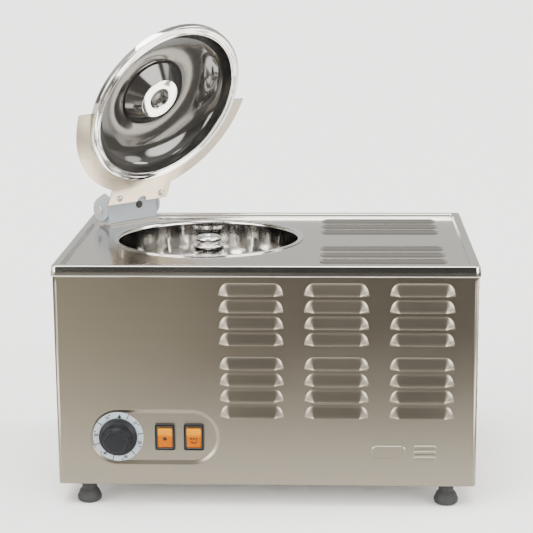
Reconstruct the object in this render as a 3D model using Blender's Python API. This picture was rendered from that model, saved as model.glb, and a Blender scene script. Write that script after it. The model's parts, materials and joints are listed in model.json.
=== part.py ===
"""Countertop ice-cream machine with its own compressor: a stainless case on four feet, a fixed cold bowl
with a driven paddle, and a dome lid on a corner hinge. Metres, +Z up, X to the right, Y from front to back.

The machine is laid out in its case frame (x = 0 at the case's middle, y = 0 on its front face, z = 0 under
the feet). The empty "machine" carries that frame to the middle of the object's own footprint."""

import math

import bmesh
import bpy
from mathutils import Euler, Matrix, Vector

# ---- driving dimensions: case ------------------------------------------------------------------------
CASE_WIDTH = 0.510
CASE_DEPTH = 0.355
FOOT_HEIGHT = 0.028
FOOT_INSET = (0.0345, 0.0200)    # from the case's sides and from its front and back
CASE_HEIGHT = 0.2741             # from the case's bottom edge to the top rim
SHEET = 0.0012
CORNER = 0.005                   # outside radius of the case's upright corners
GAP = 0.0003                     # between pieces that touch
SIDE = CASE_WIDTH / 2
RIM_TOP = FOOT_HEIGHT + CASE_HEIGHT

# ---- top tray ----------------------------------------------------------------------------------------
TRAY_OVERHANG = 0.002
TRAY_SKIRT = 0.0135
TRAY_RECESS = 0.005
TRAY_PLATE = 0.0015
RIM_BAND = 0.011
TRAY_TOP = RIM_TOP - TRAY_RECESS

# ---- bowl, paddle and drive --------------------------------------------------------------------------
BOWL_X, BOWL_Y = -0.0823, 0.1988
BOWL_RADIUS = 0.1163
BOWL_DEPTH = 0.088
BOWL_WALL = 0.001
BOWL_LIP = 0.006                 # radius of the drawn edge
BOWL_FLANGE = 0.0022             # flat that rests on the tray
BOWL_FILLET = 0.026
BOWL_HOLE = 0.0155               # for the shaft's housing
BOWL_FLOOR = TRAY_TOP - BOWL_DEPTH
SHAFT_RADIUS = 0.0075
HUB_RADIUS = 0.0163
HUB_TOP = TRAY_TOP + 0.003
MOTOR_RADIUS = 0.044
BRACKET_SHEET = 0.003

# ---- louvres -----------------------------------------------------------------------------------------
LOUVRE_WIDTH = 0.0766
LOUVRE_HEIGHT = 0.0158
LOUVRE_REACH = 0.0047
LOUVRE_PITCH_Z = 0.0202
LOUVRE_PITCH_X = 0.1024
LOUVRE_FIRST_X = -0.0549
LOUVRE_BANKS = (FOOT_HEIGHT + 0.0862, FOOT_HEIGHT + 0.1770)   # lowest lip of each bank of rows
LOUVRE_ROWS = 4
LOUVRE_COLUMNS = 3
SIDE_LOUVRE_FIRST_Y = 0.037
TOP_LOUVRE_X = (0.0640, 0.2210)
TOP_LOUVRE_FRONTS = (0.037, 0.223)   # front of each bank on the tray
TOP_LOUVRE_ROWS = 3
TOP_LOUVRE_PITCH = 0.039
TOP_LOUVRE_LENGTH = 0.0130
TOP_LOUVRE_REACH = 0.0034

# ---- controls ----------------------------------------------------------------------------------------
CONTROL_Z = FOOT_HEIGHT + 0.0605
RECESS_RADIUS = 0.0342
RECESS_DEPTH = 0.002
DIAL_X = -0.1803
RECESS_END_X = -0.0565
DIAL_RADIUS = 0.0310
KNOB_RADIUS = 0.0235
KNOB_GRIP_RADIUS = 0.0167
KNOB_CAP_RADIUS = 0.0138
KNOB_REACH = 0.0235
SWITCH_X = (-0.1229, -0.0876)
SWITCH_WIDTH, SWITCH_HEIGHT = 0.0246, 0.0328
ROCKER_WIDTH, ROCKER_HEIGHT = 0.0189, 0.0258
ROCKER_TILT = math.radians(8)
ROCKER_PIVOT_Y = 0.0062

# ---- lid and its hinge, in the hinge frame: x along the pin, -y towards the bowl, z up, lid closed -----
HINGE_TURN = math.radians(45)
HINGE_REACH = 0.1712             # from the bowl's axis to the pin
HINGE_Z = TRAY_TOP + 0.0212
LID_OPEN = math.radians(64)
LID_RADIUS = 0.118
LID_Z = TRAY_TOP + 0.0019        # the closed lid's rim
LID_RIM = 0.008
LID_WALL = 0.001
COLLAR_RADIUS = 0.1395
COLLAR_LIFT = 0.005
COLLAR_SHEET = 0.0015
COLLAR_HALF_ANGLE = math.radians(88)
TAB_LEFT, TAB_RIGHT = -0.049, 0.053
TAB_END = 0.1555                 # from the lid's axis to the tab's free edge
TAB_GAP = HINGE_REACH - TAB_END - GAP
BLOCK_LEFT, BLOCK_RIGHT = -0.0430, 0.0400
BLOCK_FRONT, BLOCK_BACK = 0.0140, 0.0090
BLOCK_TOP = TRAY_TOP + 0.0300
PLATE_THICK = 0.0026
CHEEK = 0.0042
CHEEK_RADIUS = 0.0159
CHEEK_REACH = 0.0245
PIN_RADIUS = 0.0035
TAB_SCREW_X = (-0.0310, 0.0400)
STOP_X = 0.0085

# ---- cooling unit ------------------------------------------------------------------------------------
COMPRESSOR_X, COMPRESSOR_Y = 0.0900, 0.2450
COMPRESSOR_RADIUS = 0.0580
COMPRESSOR_HEIGHT = 0.138
FAN_Y, FAN_Z = 0.1750, 0.1650
FAN_RADIUS = 0.0680
REAR_VENT_X = (0.055, 0.160)
REAR_VENT_ROWS, REAR_VENT_Z, REAR_VENT_PITCH = 8, FOOT_HEIGHT + 0.075, 0.018
PAN_VENT_X, PAN_VENT_PITCH = 0.17, 0.030

# ---- where the mains lead enters the back -------------------------------------------------------------
GLAND_X, GLAND_Z = -0.190, FOOT_HEIGHT + 0.045
GLAND_BORE = 0.0042
GLAND_THREAD = 0.0078
GLAND_REACH = 0.0160

# ---- where the footprint's middle lies in the case frame ------------------------------------------------
LEFT_END = -SIDE - TRAY_OVERHANG
RIGHT_END = SIDE + LOUVRE_REACH
FRONT_END = -KNOB_REACH
BACK_END = CASE_DEPTH + GLAND_REACH
MIDDLE_X = (LEFT_END + RIGHT_END) / 2
MIDDLE_Y = (FRONT_END + BACK_END) / 2

SEGMENTS = 36

FINISHES = {
    "steel": ((0.50, 0.48, 0.45), 0.30, 1.0),
    "mirror_steel": ((0.62, 0.61, 0.59), 0.08, 1.0),
    "cast_grey": ((0.42, 0.46, 0.49), 0.45, 0.0),
    "black_plastic": ((0.035, 0.036, 0.038), 0.40, 0.0),
    "dial": ((0.60, 0.63, 0.66), 0.35, 0.0),
    "orange": ((0.90, 0.36, 0.04), 0.30, 0.0),
    "rubber": ((0.06, 0.06, 0.062), 0.70, 0.0),
    "foam": ((0.80, 0.74, 0.55), 0.90, 0.0),
    "copper": ((0.72, 0.36, 0.20), 0.30, 1.0),
    "aluminium": ((0.66, 0.67, 0.68), 0.40, 1.0),
    "black_paint": ((0.02, 0.02, 0.022), 0.35, 0.0),
    "bronze": ((0.55, 0.38, 0.18), 0.35, 1.0),
}


# ---- tools -------------------------------------------------------------------------------------------
def clear_scene():
    for old in list(bpy.data.objects):
        bpy.data.objects.remove(old, do_unlink=True)


def finish(name):
    found = bpy.data.materials.get(name)
    if found:
        return found
    colour, roughness, metallic = FINISHES[name]
    made = bpy.data.materials.new(name)
    made.use_nodes = True
    shader = made.node_tree.nodes["Principled BSDF"]
    shader.inputs["Base Color"].default_value = (*colour, 1.0)
    shader.inputs["Roughness"].default_value = roughness
    shader.inputs["Metallic"].default_value = metallic
    return made


def empty(name, parent=None, at=(0, 0, 0), turn=(0, 0, 0)):
    made = bpy.data.objects.new(name, None)
    bpy.context.scene.collection.objects.link(made)
    made.parent = parent
    made.location = at
    made.rotation_euler = turn
    return made


def place(name, mesh, finish_name, parent, at=(0, 0, 0), turn=(0, 0, 0), smooth=True):
    made = bpy.data.objects.new(name, mesh)
    bpy.context.scene.collection.objects.link(made)
    made.parent = parent
    made.location = at
    made.rotation_euler = turn
    if not mesh.materials:
        mesh.materials.append(finish(finish_name))
    if smooth:
        mesh.shade_smooth()
        mesh.set_sharp_from_angle(angle=math.radians(35))
    return made


def mesh_of(bm, name):
    bmesh.ops.recalc_face_normals(bm, faces=bm.faces)
    made = bpy.data.meshes.new(name)
    bm.to_mesh(made)
    bm.free()
    return made


def box_mesh(low, high):
    """An upright box between two corners."""
    bm = bmesh.new()
    low, high = Vector(low), Vector(high)
    bmesh.ops.create_cube(bm, size=1.0)
    bmesh.ops.scale(bm, vec=high - low, verts=bm.verts)
    bmesh.ops.translate(bm, vec=(high + low) / 2, verts=bm.verts)
    return mesh_of(bm, "box")


def prism_mesh(outline, low, high):
    """A closed outline in x and y, drawn out from z = low to z = high."""
    bm = bmesh.new()
    bottom = [bm.verts.new((x, y, low)) for x, y in outline]
    top = [bm.verts.new((x, y, high)) for x, y in outline]
    bm.faces.new(bottom)
    bm.faces.new(top)
    for i in range(len(outline)):
        j = (i + 1) % len(outline)
        bm.faces.new((bottom[i], bottom[j], top[j], top[i]))
    return mesh_of(bm, "prism")


def turned_mesh(profile, segments=SEGMENTS):
    """A closed (radius, z) profile turned about z. Points on the axis become one vertex."""
    bm = bmesh.new()
    rings = []
    for radius, z in profile:
        if radius == 0:
            rings.append([bm.verts.new((0, 0, z))])
            continue
        angles = [math.tau * i / segments for i in range(segments)]
        rings.append([bm.verts.new((radius * math.cos(a), radius * math.sin(a), z)) for a in angles])
    for k, ring in enumerate(rings):
        other = rings[(k + 1) % len(rings)]
        if len(ring) == 1 and len(other) == 1:
            continue
        for i in range(segments):
            j = (i + 1) % segments
            corners = [ring[i % len(ring)], ring[j % len(ring)]]
            corners += [other[j % len(other)], other[i % len(other)]]
            bm.faces.new(list(dict.fromkeys(corners)))
    return mesh_of(bm, "turned")


def hull_mesh(points):
    """The convex solid around some points."""
    bm = bmesh.new()
    for point in points:
        bm.verts.new(point)
    bmesh.ops.convex_hull(bm, input=bm.verts)
    return mesh_of(bm, "hull")


def moved(mesh, at=(0, 0, 0), turn=(0, 0, 0)):
    """The mesh with its points turned and then moved."""
    mesh.transform(Matrix.Translation(at) @ Euler(turn).to_matrix().to_4x4())
    return mesh


def joined(meshes):
    """Several meshes as one. They stay separate bodies inside it."""
    bm = bmesh.new()
    for mesh in meshes:
        bm.from_mesh(mesh)
    made = bpy.data.meshes.new("joined")
    bm.to_mesh(made)
    bm.free()
    return made


def combine(target, mesh, operation):
    """Adds a Boolean of the mesh, in the target's own frame, to the target."""
    tool = bpy.data.objects.new(f"{target.name}_{operation.lower()}_{len(target.modifiers)}", mesh)
    bpy.context.scene.collection.objects.link(tool)
    tool.parent = target
    tool.hide_render = True
    tool.display_type = "WIRE"
    step = target.modifiers.new(operation, "BOOLEAN")
    step.operation = operation
    step.solver = "EXACT"
    step.object = tool


def cut(target, mesh):
    combine(target, mesh, "DIFFERENCE")


def weld_on(target, mesh):
    combine(target, mesh, "UNION")


def round_edges(target, width, segments=2):
    bevel = target.modifiers.new("rounding", "BEVEL")
    bevel.width = width
    bevel.segments = segments
    bevel.limit_method = "ANGLE"
    bevel.angle_limit = math.radians(50)


def tube(name, points, radius, finish_name, parent, sides=1):
    """A pipe along a smooth run of points, with filled ends."""
    curve = bpy.data.curves.new(name, "CURVE")
    curve.dimensions = "3D"
    curve.bevel_depth = radius
    curve.bevel_resolution = sides
    curve.use_fill_caps = True
    spline = curve.splines.new("POLY")
    spline.points.add(len(points) - 1)
    for knot, point in zip(spline.points, points):
        knot.co = (*point, 1.0)
    curve.materials.append(finish(finish_name))
    made = bpy.data.objects.new(name, curve)
    bpy.context.scene.collection.objects.link(made)
    made.parent = parent
    return made


def smooth_run(corners, radius, steps=5):
    """Points along straight runs between corners, with each corner rounded by a quadratic bend."""
    corners = [Vector(c) for c in corners]
    points = [corners[0]]
    for before, corner, after in zip(corners, corners[1:], corners[2:]):
        start = corner + (before - corner).normalized() * radius
        end = corner + (after - corner).normalized() * radius
        for i in range(steps + 1):
            t = i / steps
            points.append(start * (1 - t) ** 2 + corner * 2 * t * (1 - t) + end * t ** 2)
    points.append(corners[-1])
    return points


def arc(centre, radius, start, end, steps):
    """Points on an arc in a plane, angles in degrees, both ends included."""
    angles = [math.radians(start + (end - start) * i / steps) for i in range(steps + 1)]
    return [(centre[0] + radius * math.cos(a), centre[1] + radius * math.sin(a)) for a in angles]


def rounded_rectangle(low, high, radius, steps=4):
    (x0, y0), (x1, y1) = low, high
    return (
        arc((x1 - radius, y0 + radius), radius, -90, 0, steps)
        + arc((x1 - radius, y1 - radius), radius, 0, 90, steps)
        + arc((x0 + radius, y1 - radius), radius, 90, 180, steps)
        + arc((x0 + radius, y0 + radius), radius, 180, 270, steps)
    )


def stadium(x0, x1, radius, steps=12):
    """A pill outline between two end centres at y = 0."""
    return arc((x1, 0), radius, -90, 90, steps) + arc((x0, 0), radius, 90, 270, steps)


FACING_FRONT = (math.radians(90), 0, 0)   # carries an outline's (x, y) to (x, z), drawn out towards -y
FACING_BACK = (math.radians(-90), 0, 0)   # carries a turned piece's +z to +y


# ---- case --------------------------------------------------------------------------------------------
def louvre_hood(width, height, reach):
    """A pressed hood: its back at y = 0, its lip at z = 0 and y = -reach."""
    end = 0.85 * reach
    lip = 0.0012
    points = [(x, y, z) for x in (0, width) for y in (0, SHEET / 2) for z in (0, height)]
    points += [(x, -reach, z) for x in (end, width - end) for z in (0, lip)]
    return hull_mesh(points)


def louvre_mouth(width, height, reach):
    """The space under a louvre hood, open below its lip and through the sheet."""
    wall = 0.0010
    end = 0.85 * reach + wall
    low = -0.0002
    points = [(x, SHEET + 0.001, z) for x in (wall, width - wall) for z in (low, height - 3 * wall)]
    points += [(x, 0, z) for x in (wall, width - wall) for z in (low, height - 3 * wall)]
    points += [(x, wall - reach, low) for x in (end, width - end)]
    return hull_mesh(points)


def louvre_places(first, pitch):
    """The lower left corner of each hood on an upright sheet: (along the sheet, z)."""
    return [
        (first + column * pitch, bank + row * LOUVRE_PITCH_Z)
        for bank in LOUVRE_BANKS
        for row in range(LOUVRE_ROWS)
        for column in range(LOUVRE_COLUMNS)
    ]


def case_louvres(shape):
    """Front and right-hand louvres, as hoods or as mouths."""
    front = [
        moved(shape(LOUVRE_WIDTH, LOUVRE_HEIGHT, LOUVRE_REACH), (x, 0, z))
        for x, z in louvre_places(LOUVRE_FIRST_X, LOUVRE_PITCH_X)
    ]
    right = [
        moved(shape(LOUVRE_WIDTH, LOUVRE_HEIGHT, LOUVRE_REACH), (SIDE, y, z), (0, 0, math.radians(90)))
        for y, z in louvre_places(SIDE_LOUVRE_FIRST_Y, LOUVRE_PITCH_X)
    ]
    return joined(front + right)


def wrap_outline():
    """Plan of the sheet that makes the left side, the front and the right side."""
    inner_radius = CORNER - SHEET
    back = CASE_DEPTH - 2 * SHEET - GAP
    outside = [(-SIDE, back)] + arc((CORNER - SIDE, CORNER), CORNER, 180, 270, 4)
    outside += arc((SIDE - CORNER, CORNER), CORNER, -90, 0, 4) + [(SIDE, back)]
    inside = [(SIDE - SHEET, back)] + arc((SIDE - CORNER, CORNER), inner_radius, 0, -90, 4)
    inside += arc((CORNER - SIDE, CORNER), inner_radius, 270, 180, 4) + [(SHEET - SIDE, back)]
    return outside + inside


def control_recess(radius, front, back):
    ends = (DIAL_X, RECESS_END_X - RECESS_RADIUS)
    return moved(prism_mesh(stadium(*ends, radius), -back, -front), (0, 0, CONTROL_Z), FACING_FRONT)


def case_wrap(machine):
    top = RIM_TOP - TRAY_RECESS - TRAY_PLATE - GAP
    wrap = place("case_wrap", prism_mesh(wrap_outline(), FOOT_HEIGHT, top), "steel", machine)
    weld_on(wrap, control_recess(RECESS_RADIUS + SHEET, 0.0002, RECESS_DEPTH + SHEET))
    cut(wrap, control_recess(RECESS_RADIUS, -0.002, RECESS_DEPTH))
    weld_on(wrap, case_louvres(louvre_hood))
    cut(wrap, case_louvres(louvre_mouth))
    shaft_hole = moved(turned_mesh([(0, -0.01), (0.005, -0.01), (0.005, 0.01), (0, 0.01)], 16),
                       (DIAL_X, 0, CONTROL_Z), FACING_BACK)
    holes = [shaft_hole]
    for x in SWITCH_X:
        half_x, half_z = SWITCH_WIDTH / 2 - 0.0015, SWITCH_HEIGHT / 2 - 0.0015
        low = (x - half_x, -0.01, CONTROL_Z - half_z)
        holes.append(box_mesh(low, (x + half_x, 0.01, CONTROL_Z + half_z)))
    cut(wrap, joined(holes))
    return wrap


def base_pan(machine):
    low, high = (GAP + SHEET - SIDE, SHEET + GAP), (SIDE - SHEET - GAP, CASE_DEPTH - SHEET - 2 * GAP)
    flange = 0.014
    pan = place("base_pan", prism_mesh(rounded_rectangle(low, high, CORNER - SHEET), FOOT_HEIGHT,
                                       FOOT_HEIGHT + flange), "steel", machine)
    inner_low = (low[0] + SHEET, low[1] + SHEET)
    inner_high = (high[0] - SHEET, high[1] - SHEET)
    cut(pan, prism_mesh(rounded_rectangle(inner_low, inner_high, CORNER - 2 * SHEET),
                        FOOT_HEIGHT + SHEET, FOOT_HEIGHT + 0.1))
    slots = []
    for row in range(7):
        slot = prism_mesh(stadium(-0.030, 0.030, 0.004, 4), 0, 0.02)
        slots.append(moved(slot, (PAN_VENT_X, 0.07 + PAN_VENT_PITCH * row, FOOT_HEIGHT - 0.01)))
    cut(pan, joined(slots))
    return pan


def rear_panel(machine):
    """The flat back sheet, with vent slots behind the cooling unit and a hole for the cord gland."""
    low, high = (-SIDE + 0.001, FOOT_HEIGHT + 0.001), (SIDE - 0.001, RIM_TOP - TRAY_SKIRT - 0.0006)
    sheet = prism_mesh(rounded_rectangle(low, high, 0.003), -CASE_DEPTH, SHEET - CASE_DEPTH)
    panel = place("rear_panel", moved(sheet, (0, 0, 0), FACING_FRONT), "steel", machine)
    slots = []
    for column in REAR_VENT_X:
        for row in range(REAR_VENT_ROWS):
            slot = prism_mesh(stadium(-0.038, 0.038, 0.003, 4), -0.01, 0.01)
            z = REAR_VENT_Z + REAR_VENT_PITCH * row
            slots.append(moved(slot, (column, CASE_DEPTH, z), FACING_FRONT))
    gland_hole = turned_mesh(ring_solid(GLAND_THREAD + 0.0004, -0.01, 0.01), 24)
    slots.append(moved(gland_hole, (GLAND_X, CASE_DEPTH, GLAND_Z), FACING_BACK))
    cut(panel, joined(slots))
    for number, (x, z) in enumerate(rear_screw_places(), 1):
        place(f"rear_screw_{number}", screw_mesh(0.0042, 0.0024, 0.0008), "steel", machine,
              (x, CASE_DEPTH + GAP, z), FACING_BACK)
    return panel


def rear_screw_places():
    return [(x, z) for x in (-0.235, 0.235) for z in (FOOT_HEIGHT + 0.020, RIM_TOP - 0.035)]


def screw_mesh(radius, height, slot):
    """A dome head that stands on z = 0, with a driver recess in its crown."""
    crown = [(radius * math.cos(a), height * math.sin(a)) for a in (0.5, 1.0)]
    recess = [(slot, height), (slot, height / 2), (0, height / 2)]
    return turned_mesh([(0, 0), (radius, 0)] + crown + recess, 12)


def cord_gland(machine):
    """The strain relief where a mains lead enters the back."""
    profile = [
        (GLAND_BORE, -0.012), (GLAND_THREAD, -0.012), (GLAND_THREAD, GAP), (0.0110, GAP), (0.0110, 0.005),
        (0.0085, 0.0065), (0.0068, GLAND_REACH), (GLAND_BORE, GLAND_REACH),
    ]
    return place("cord_gland", turned_mesh(profile, 24), "black_plastic", machine,
                 (GLAND_X, CASE_DEPTH, GLAND_Z), FACING_BACK)


def feet(machine):
    profile = [
        (0, 0), (0.0120, 0), (0.0146, 0.0024), (0.0150, 0.0065), (0.0120, 0.0140), (0.0092, 0.0170),
        (0.0090, FOOT_HEIGHT - GAP), (0, FOOT_HEIGHT - GAP),
    ]
    inset_x, inset_y = FOOT_INSET
    names = ("foot_front_left", "foot_front_right", "foot_back_left", "foot_back_right")
    spots = [(x, y) for y in (inset_y, CASE_DEPTH - inset_y) for x in (inset_x - SIDE, SIDE - inset_x)]
    for name, (x, y) in zip(names, spots):
        place(name, turned_mesh(profile, 20), "rubber", machine, (x, y, 0))


def top_tray(machine):
    """The pressed top cover: a raised rim, a shallow recess, the bowl's hole and two banks of louvres."""
    low = (-SIDE - TRAY_OVERHANG, -TRAY_OVERHANG)
    high = (SIDE + TRAY_OVERHANG, CASE_DEPTH + TRAY_OVERHANG)
    corner = CORNER + TRAY_OVERHANG

    def rim_outline(inset):
        near, far = (low[0] + inset, low[1] + inset), (high[0] - inset, high[1] - inset)
        return rounded_rectangle(near, far, max(corner - inset, 0.0015))

    tray = place("top_tray", prism_mesh(rim_outline(0), RIM_TOP - TRAY_SKIRT, RIM_TOP), "steel", machine)
    cut(tray, prism_mesh(rim_outline(RIM_BAND), TRAY_TOP, RIM_TOP + 0.01))
    cut(tray, prism_mesh(rim_outline(SHEET), RIM_TOP - 0.05, TRAY_TOP - TRAY_PLATE))
    hole_radius = BOWL_RADIUS + BOWL_LIP + GAP
    hole = turned_mesh([(0, -0.02), (hole_radius, -0.02), (hole_radius, 0.02), (0, 0.02)], 64)
    cut(tray, moved(hole, (BOWL_X, BOWL_Y, TRAY_TOP)))

    def louvres(shape):
        width = TOP_LOUVRE_X[1] - TOP_LOUVRE_X[0]
        mouth_to_back = (math.radians(-90), 0, math.radians(180))
        made = []
        for front in TOP_LOUVRE_FRONTS:
            for row in range(TOP_LOUVRE_ROWS):
                lip = front + TOP_LOUVRE_PITCH * row + TOP_LOUVRE_LENGTH
                louvre = shape(width, TOP_LOUVRE_LENGTH, TOP_LOUVRE_REACH)
                made.append(moved(louvre, (TOP_LOUVRE_X[1], lip, TRAY_TOP), mouth_to_back))
        return joined(made)

    weld_on(tray, louvres(louvre_hood))
    cut(tray, louvres(louvre_mouth))
    return tray


# ---- bowl and drive ----------------------------------------------------------------------------------
def bowl(machine):
    """A drawn bowl: a lip that rests on the tray, a round edge, a straight wall and a filleted floor."""
    lip_top = TRAY_TOP + GAP + BOWL_WALL
    lip_centre = (BOWL_RADIUS + BOWL_LIP, lip_top - BOWL_LIP)
    fillet_centre = (BOWL_RADIUS - BOWL_FILLET, BOWL_FLOOR + BOWL_FILLET)
    lip_end = BOWL_RADIUS + BOWL_LIP + BOWL_FLANGE
    inside = [(lip_end, lip_top)] + arc(lip_centre, BOWL_LIP, 90, 180, 3)
    inside += arc(fillet_centre, BOWL_FILLET, 0, -90, 4)
    outside = arc(fillet_centre, BOWL_FILLET + BOWL_WALL, -90, 0, 4)
    outside += arc(lip_centre, BOWL_LIP - BOWL_WALL, 180, 90, 3) + [(lip_end, lip_top - BOWL_WALL)]
    middle = [(BOWL_HOLE, BOWL_FLOOR), (BOWL_HOLE, BOWL_FLOOR - BOWL_WALL)]
    profile = inside + middle + outside
    return place("bowl", turned_mesh(profile, 40), "mirror_steel", machine, (BOWL_X, BOWL_Y, 0))


def evaporator_coil(machine):
    """Cold tube wound round the bowl's wall."""
    turns, pitch, steps = 3, 0.013, 32
    tube_radius = 0.0040
    coil_radius = BOWL_RADIUS + BOWL_WALL + tube_radius + 0.0014
    start_z = BOWL_FLOOR + 0.034
    points = []
    for i in range(turns * steps + 1):
        angle = math.tau * i / steps - math.pi / 2
        x, y = BOWL_X + coil_radius * math.cos(angle), BOWL_Y + coil_radius * math.sin(angle)
        points.append((x, y, start_z + pitch * i / steps))
    return tube("evaporator_coil", points, tube_radius, "copper", machine, 1)


def bowl_insulation(machine):
    inner, outer = 0.1300, 0.1460
    top, floor, base = TRAY_TOP - 0.0040, BOWL_FLOOR - 0.0080, BOWL_FLOOR - 0.0230
    profile = [(0.030, base), (outer, base), (outer, top), (inner, top), (inner, floor), (0.030, floor)]
    return place("bowl_insulation", turned_mesh(profile), "foam", machine, (BOWL_X, BOWL_Y, 0))


def drive_train(machine):
    """Motor, gearbox and their bracket, hung under the bowl, and the shaft's housing, bearings and seal."""
    at = (BOWL_X, BOWL_Y, 0)
    housing_base, housing_top = BOWL_FLOOR - 0.036, BOWL_FLOOR + 0.0060
    motor_base, motor_top = FOOT_HEIGHT + 0.0100, FOOT_HEIGHT + 0.0880
    gearbox_top = motor_top + 0.0430
    bracket_z = gearbox_top + GAP
    body = [(0, motor_base), (MOTOR_RADIUS - 0.004, motor_base), (MOTOR_RADIUS, motor_base + 0.006),
            (MOTOR_RADIUS, motor_top), (0, motor_top)]
    place("drive_motor", turned_mesh(body, 36), "aluminium", machine, at)
    outline = rounded_rectangle((-0.075, -0.052), (0.052, 0.052), 0.012)
    gearbox = place("gearbox", prism_mesh(outline, motor_top + GAP, gearbox_top), "cast_grey", machine, at)
    cut(gearbox, turned_mesh(ring_solid(SHAFT_RADIUS + 0.001, gearbox_top - 0.03, 0.5), 24))
    bracket(machine, at, bracket_z)
    flange_z = bracket_z + BRACKET_SHEET + GAP
    bore, bearing_radius, seal_radius = 0.0090, 0.0130, 0.0110
    bush, spigot, under_bowl = 0.0195, BOWL_HOLE - 0.0005, BOWL_FLOOR - BOWL_WALL - GAP
    outside = [
        (bore, flange_z), (0.027, flange_z), (0.027, flange_z + 0.004), (bush, flange_z + 0.004),
        (bush, under_bowl), (spigot, under_bowl), (spigot, housing_top),
    ]
    seats = [
        (seal_radius, housing_top), (seal_radius, housing_top - 0.0060), (bore, housing_top - 0.0060),
        (bore, housing_top - 0.0080), (bearing_radius, housing_top - 0.0080),
        (bearing_radius, housing_top - 0.0190), (bore, housing_top - 0.0190), (bore, housing_base + 0.0120),
        (bearing_radius, housing_base + 0.0120), (bearing_radius, flange_z + 0.0035),
        (bore, flange_z + 0.0035),
    ]
    place("shaft_housing", turned_mesh(outside + seats, 20), "mirror_steel", machine, at)
    inner, outer = SHAFT_RADIUS + GAP, bearing_radius - GAP
    upper = ring_profile(inner, outer, housing_top - 0.0187, housing_top - 0.0083)
    place("shaft_bearing_upper", turned_mesh(upper, 20), "bronze", machine, at)
    lower = ring_profile(inner, outer, flange_z + 0.0038, housing_base + 0.0117)
    place("shaft_bearing_lower", turned_mesh(lower, 20), "bronze", machine, at)
    seal = ring_profile(inner, seal_radius - GAP, housing_top - 0.0057, housing_top - 0.0004)
    place("shaft_seal", turned_mesh(seal, 20), "rubber", machine, at)


def ring_profile(inner, outer, low, high):
    return [(inner, low), (outer, low), (outer, high), (inner, high)]


def bracket(machine, at, top_z):
    """A bridge plate over the gearbox, on two legs that stand on the base pan."""
    half_y, foot_z, sheet = 0.030, FOOT_HEIGHT + SHEET + GAP, BRACKET_SHEET
    left, right, foot = -0.085, 0.062, 0.020
    outline = [
        (left - foot, foot_z), (left + sheet, foot_z), (left + sheet, top_z), (right - sheet, top_z),
        (right - sheet, foot_z), (right + foot, foot_z), (right + foot, foot_z + sheet),
        (right, foot_z + sheet), (right, top_z + sheet), (left, top_z + sheet), (left, foot_z + sheet),
        (left - foot, foot_z + sheet),
    ]
    bridge = moved(prism_mesh(outline, -half_y, half_y), (0, 0, 0), FACING_FRONT)
    made = place("motor_bracket", bridge, "steel", machine, at)
    cut(made, turned_mesh(ring_solid(0.012, top_z - 0.01, top_z + 0.01), 24))


def paddle_drive(machine):
    """The turning pieces: the shaft, the lift-off paddle with its tall sleeve, and the cap on top."""
    spin = empty("paddle_axis", machine, (BOWL_X, BOWL_Y, 0))
    shaft_base, shaft_top = FOOT_HEIGHT + 0.1040, HUB_TOP - 0.0120
    shaft = [(0, shaft_base), (SHAFT_RADIUS, shaft_base), (SHAFT_RADIUS, shaft_top - 0.001),
             (SHAFT_RADIUS - 0.001, shaft_top), (0, shaft_top)]
    place("drive_shaft", turned_mesh(shaft, 32), "mirror_steel", spin)
    sleeve_base, sleeve_top = BOWL_FLOOR + 0.0080, HUB_TOP - 0.0080 - GAP
    bore, collar_radius, collar_top = SHAFT_RADIUS + GAP, 0.0200, HUB_TOP - 0.0110
    sleeve = [
        (bore, sleeve_base), (collar_radius, sleeve_base), (collar_radius, sleeve_base + 0.012),
        (HUB_RADIUS, sleeve_base + 0.016), (HUB_RADIUS, collar_top - 0.014),
        (collar_radius, collar_top - 0.011), (collar_radius, collar_top), (HUB_RADIUS, collar_top),
        (HUB_RADIUS, sleeve_top), (bore, sleeve_top),
    ]
    paddle = place("paddle", turned_mesh(sleeve, 28), "mirror_steel", spin)
    weld_on(paddle, joined([paddle_blade(0), paddle_blade(math.pi)]))
    cap_base = sleeve_top + GAP
    edge = 0.004
    cap = [(0, cap_base), (HUB_RADIUS, cap_base), (HUB_RADIUS, HUB_TOP - edge)]
    cap += arc((HUB_RADIUS - edge, HUB_TOP - edge), edge, 20, 90, 4)
    cap += [(0.006, HUB_TOP), (0, HUB_TOP - 0.001)]
    place("paddle_cap", turned_mesh(cap, 28), "mirror_steel", spin)


def paddle_blade(turn):
    """A swept blade that scrapes the floor and turns up along the wall, on one side of the sleeve."""
    low = BOWL_FLOOR + 0.0012
    high = BOWL_FLOOR + 0.0400
    reach = BOWL_RADIUS - 0.0020
    fillet = BOWL_FILLET
    outline = [(0.017, low + 0.008), (0.030, low)]
    outline += arc((reach - fillet, low + fillet), fillet, -90, 0, 5)
    outline += [(reach, high), (reach - 0.012, high), (reach - 0.020, low + 0.022), (0.030, low + 0.014),
                (0.017, low + 0.022)]
    blade = moved(prism_mesh(outline, -0.0016, 0.0016), (0, 0, 0), FACING_FRONT)
    return moved(blade, (0, 0, 0), (0, 0, turn))


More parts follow.
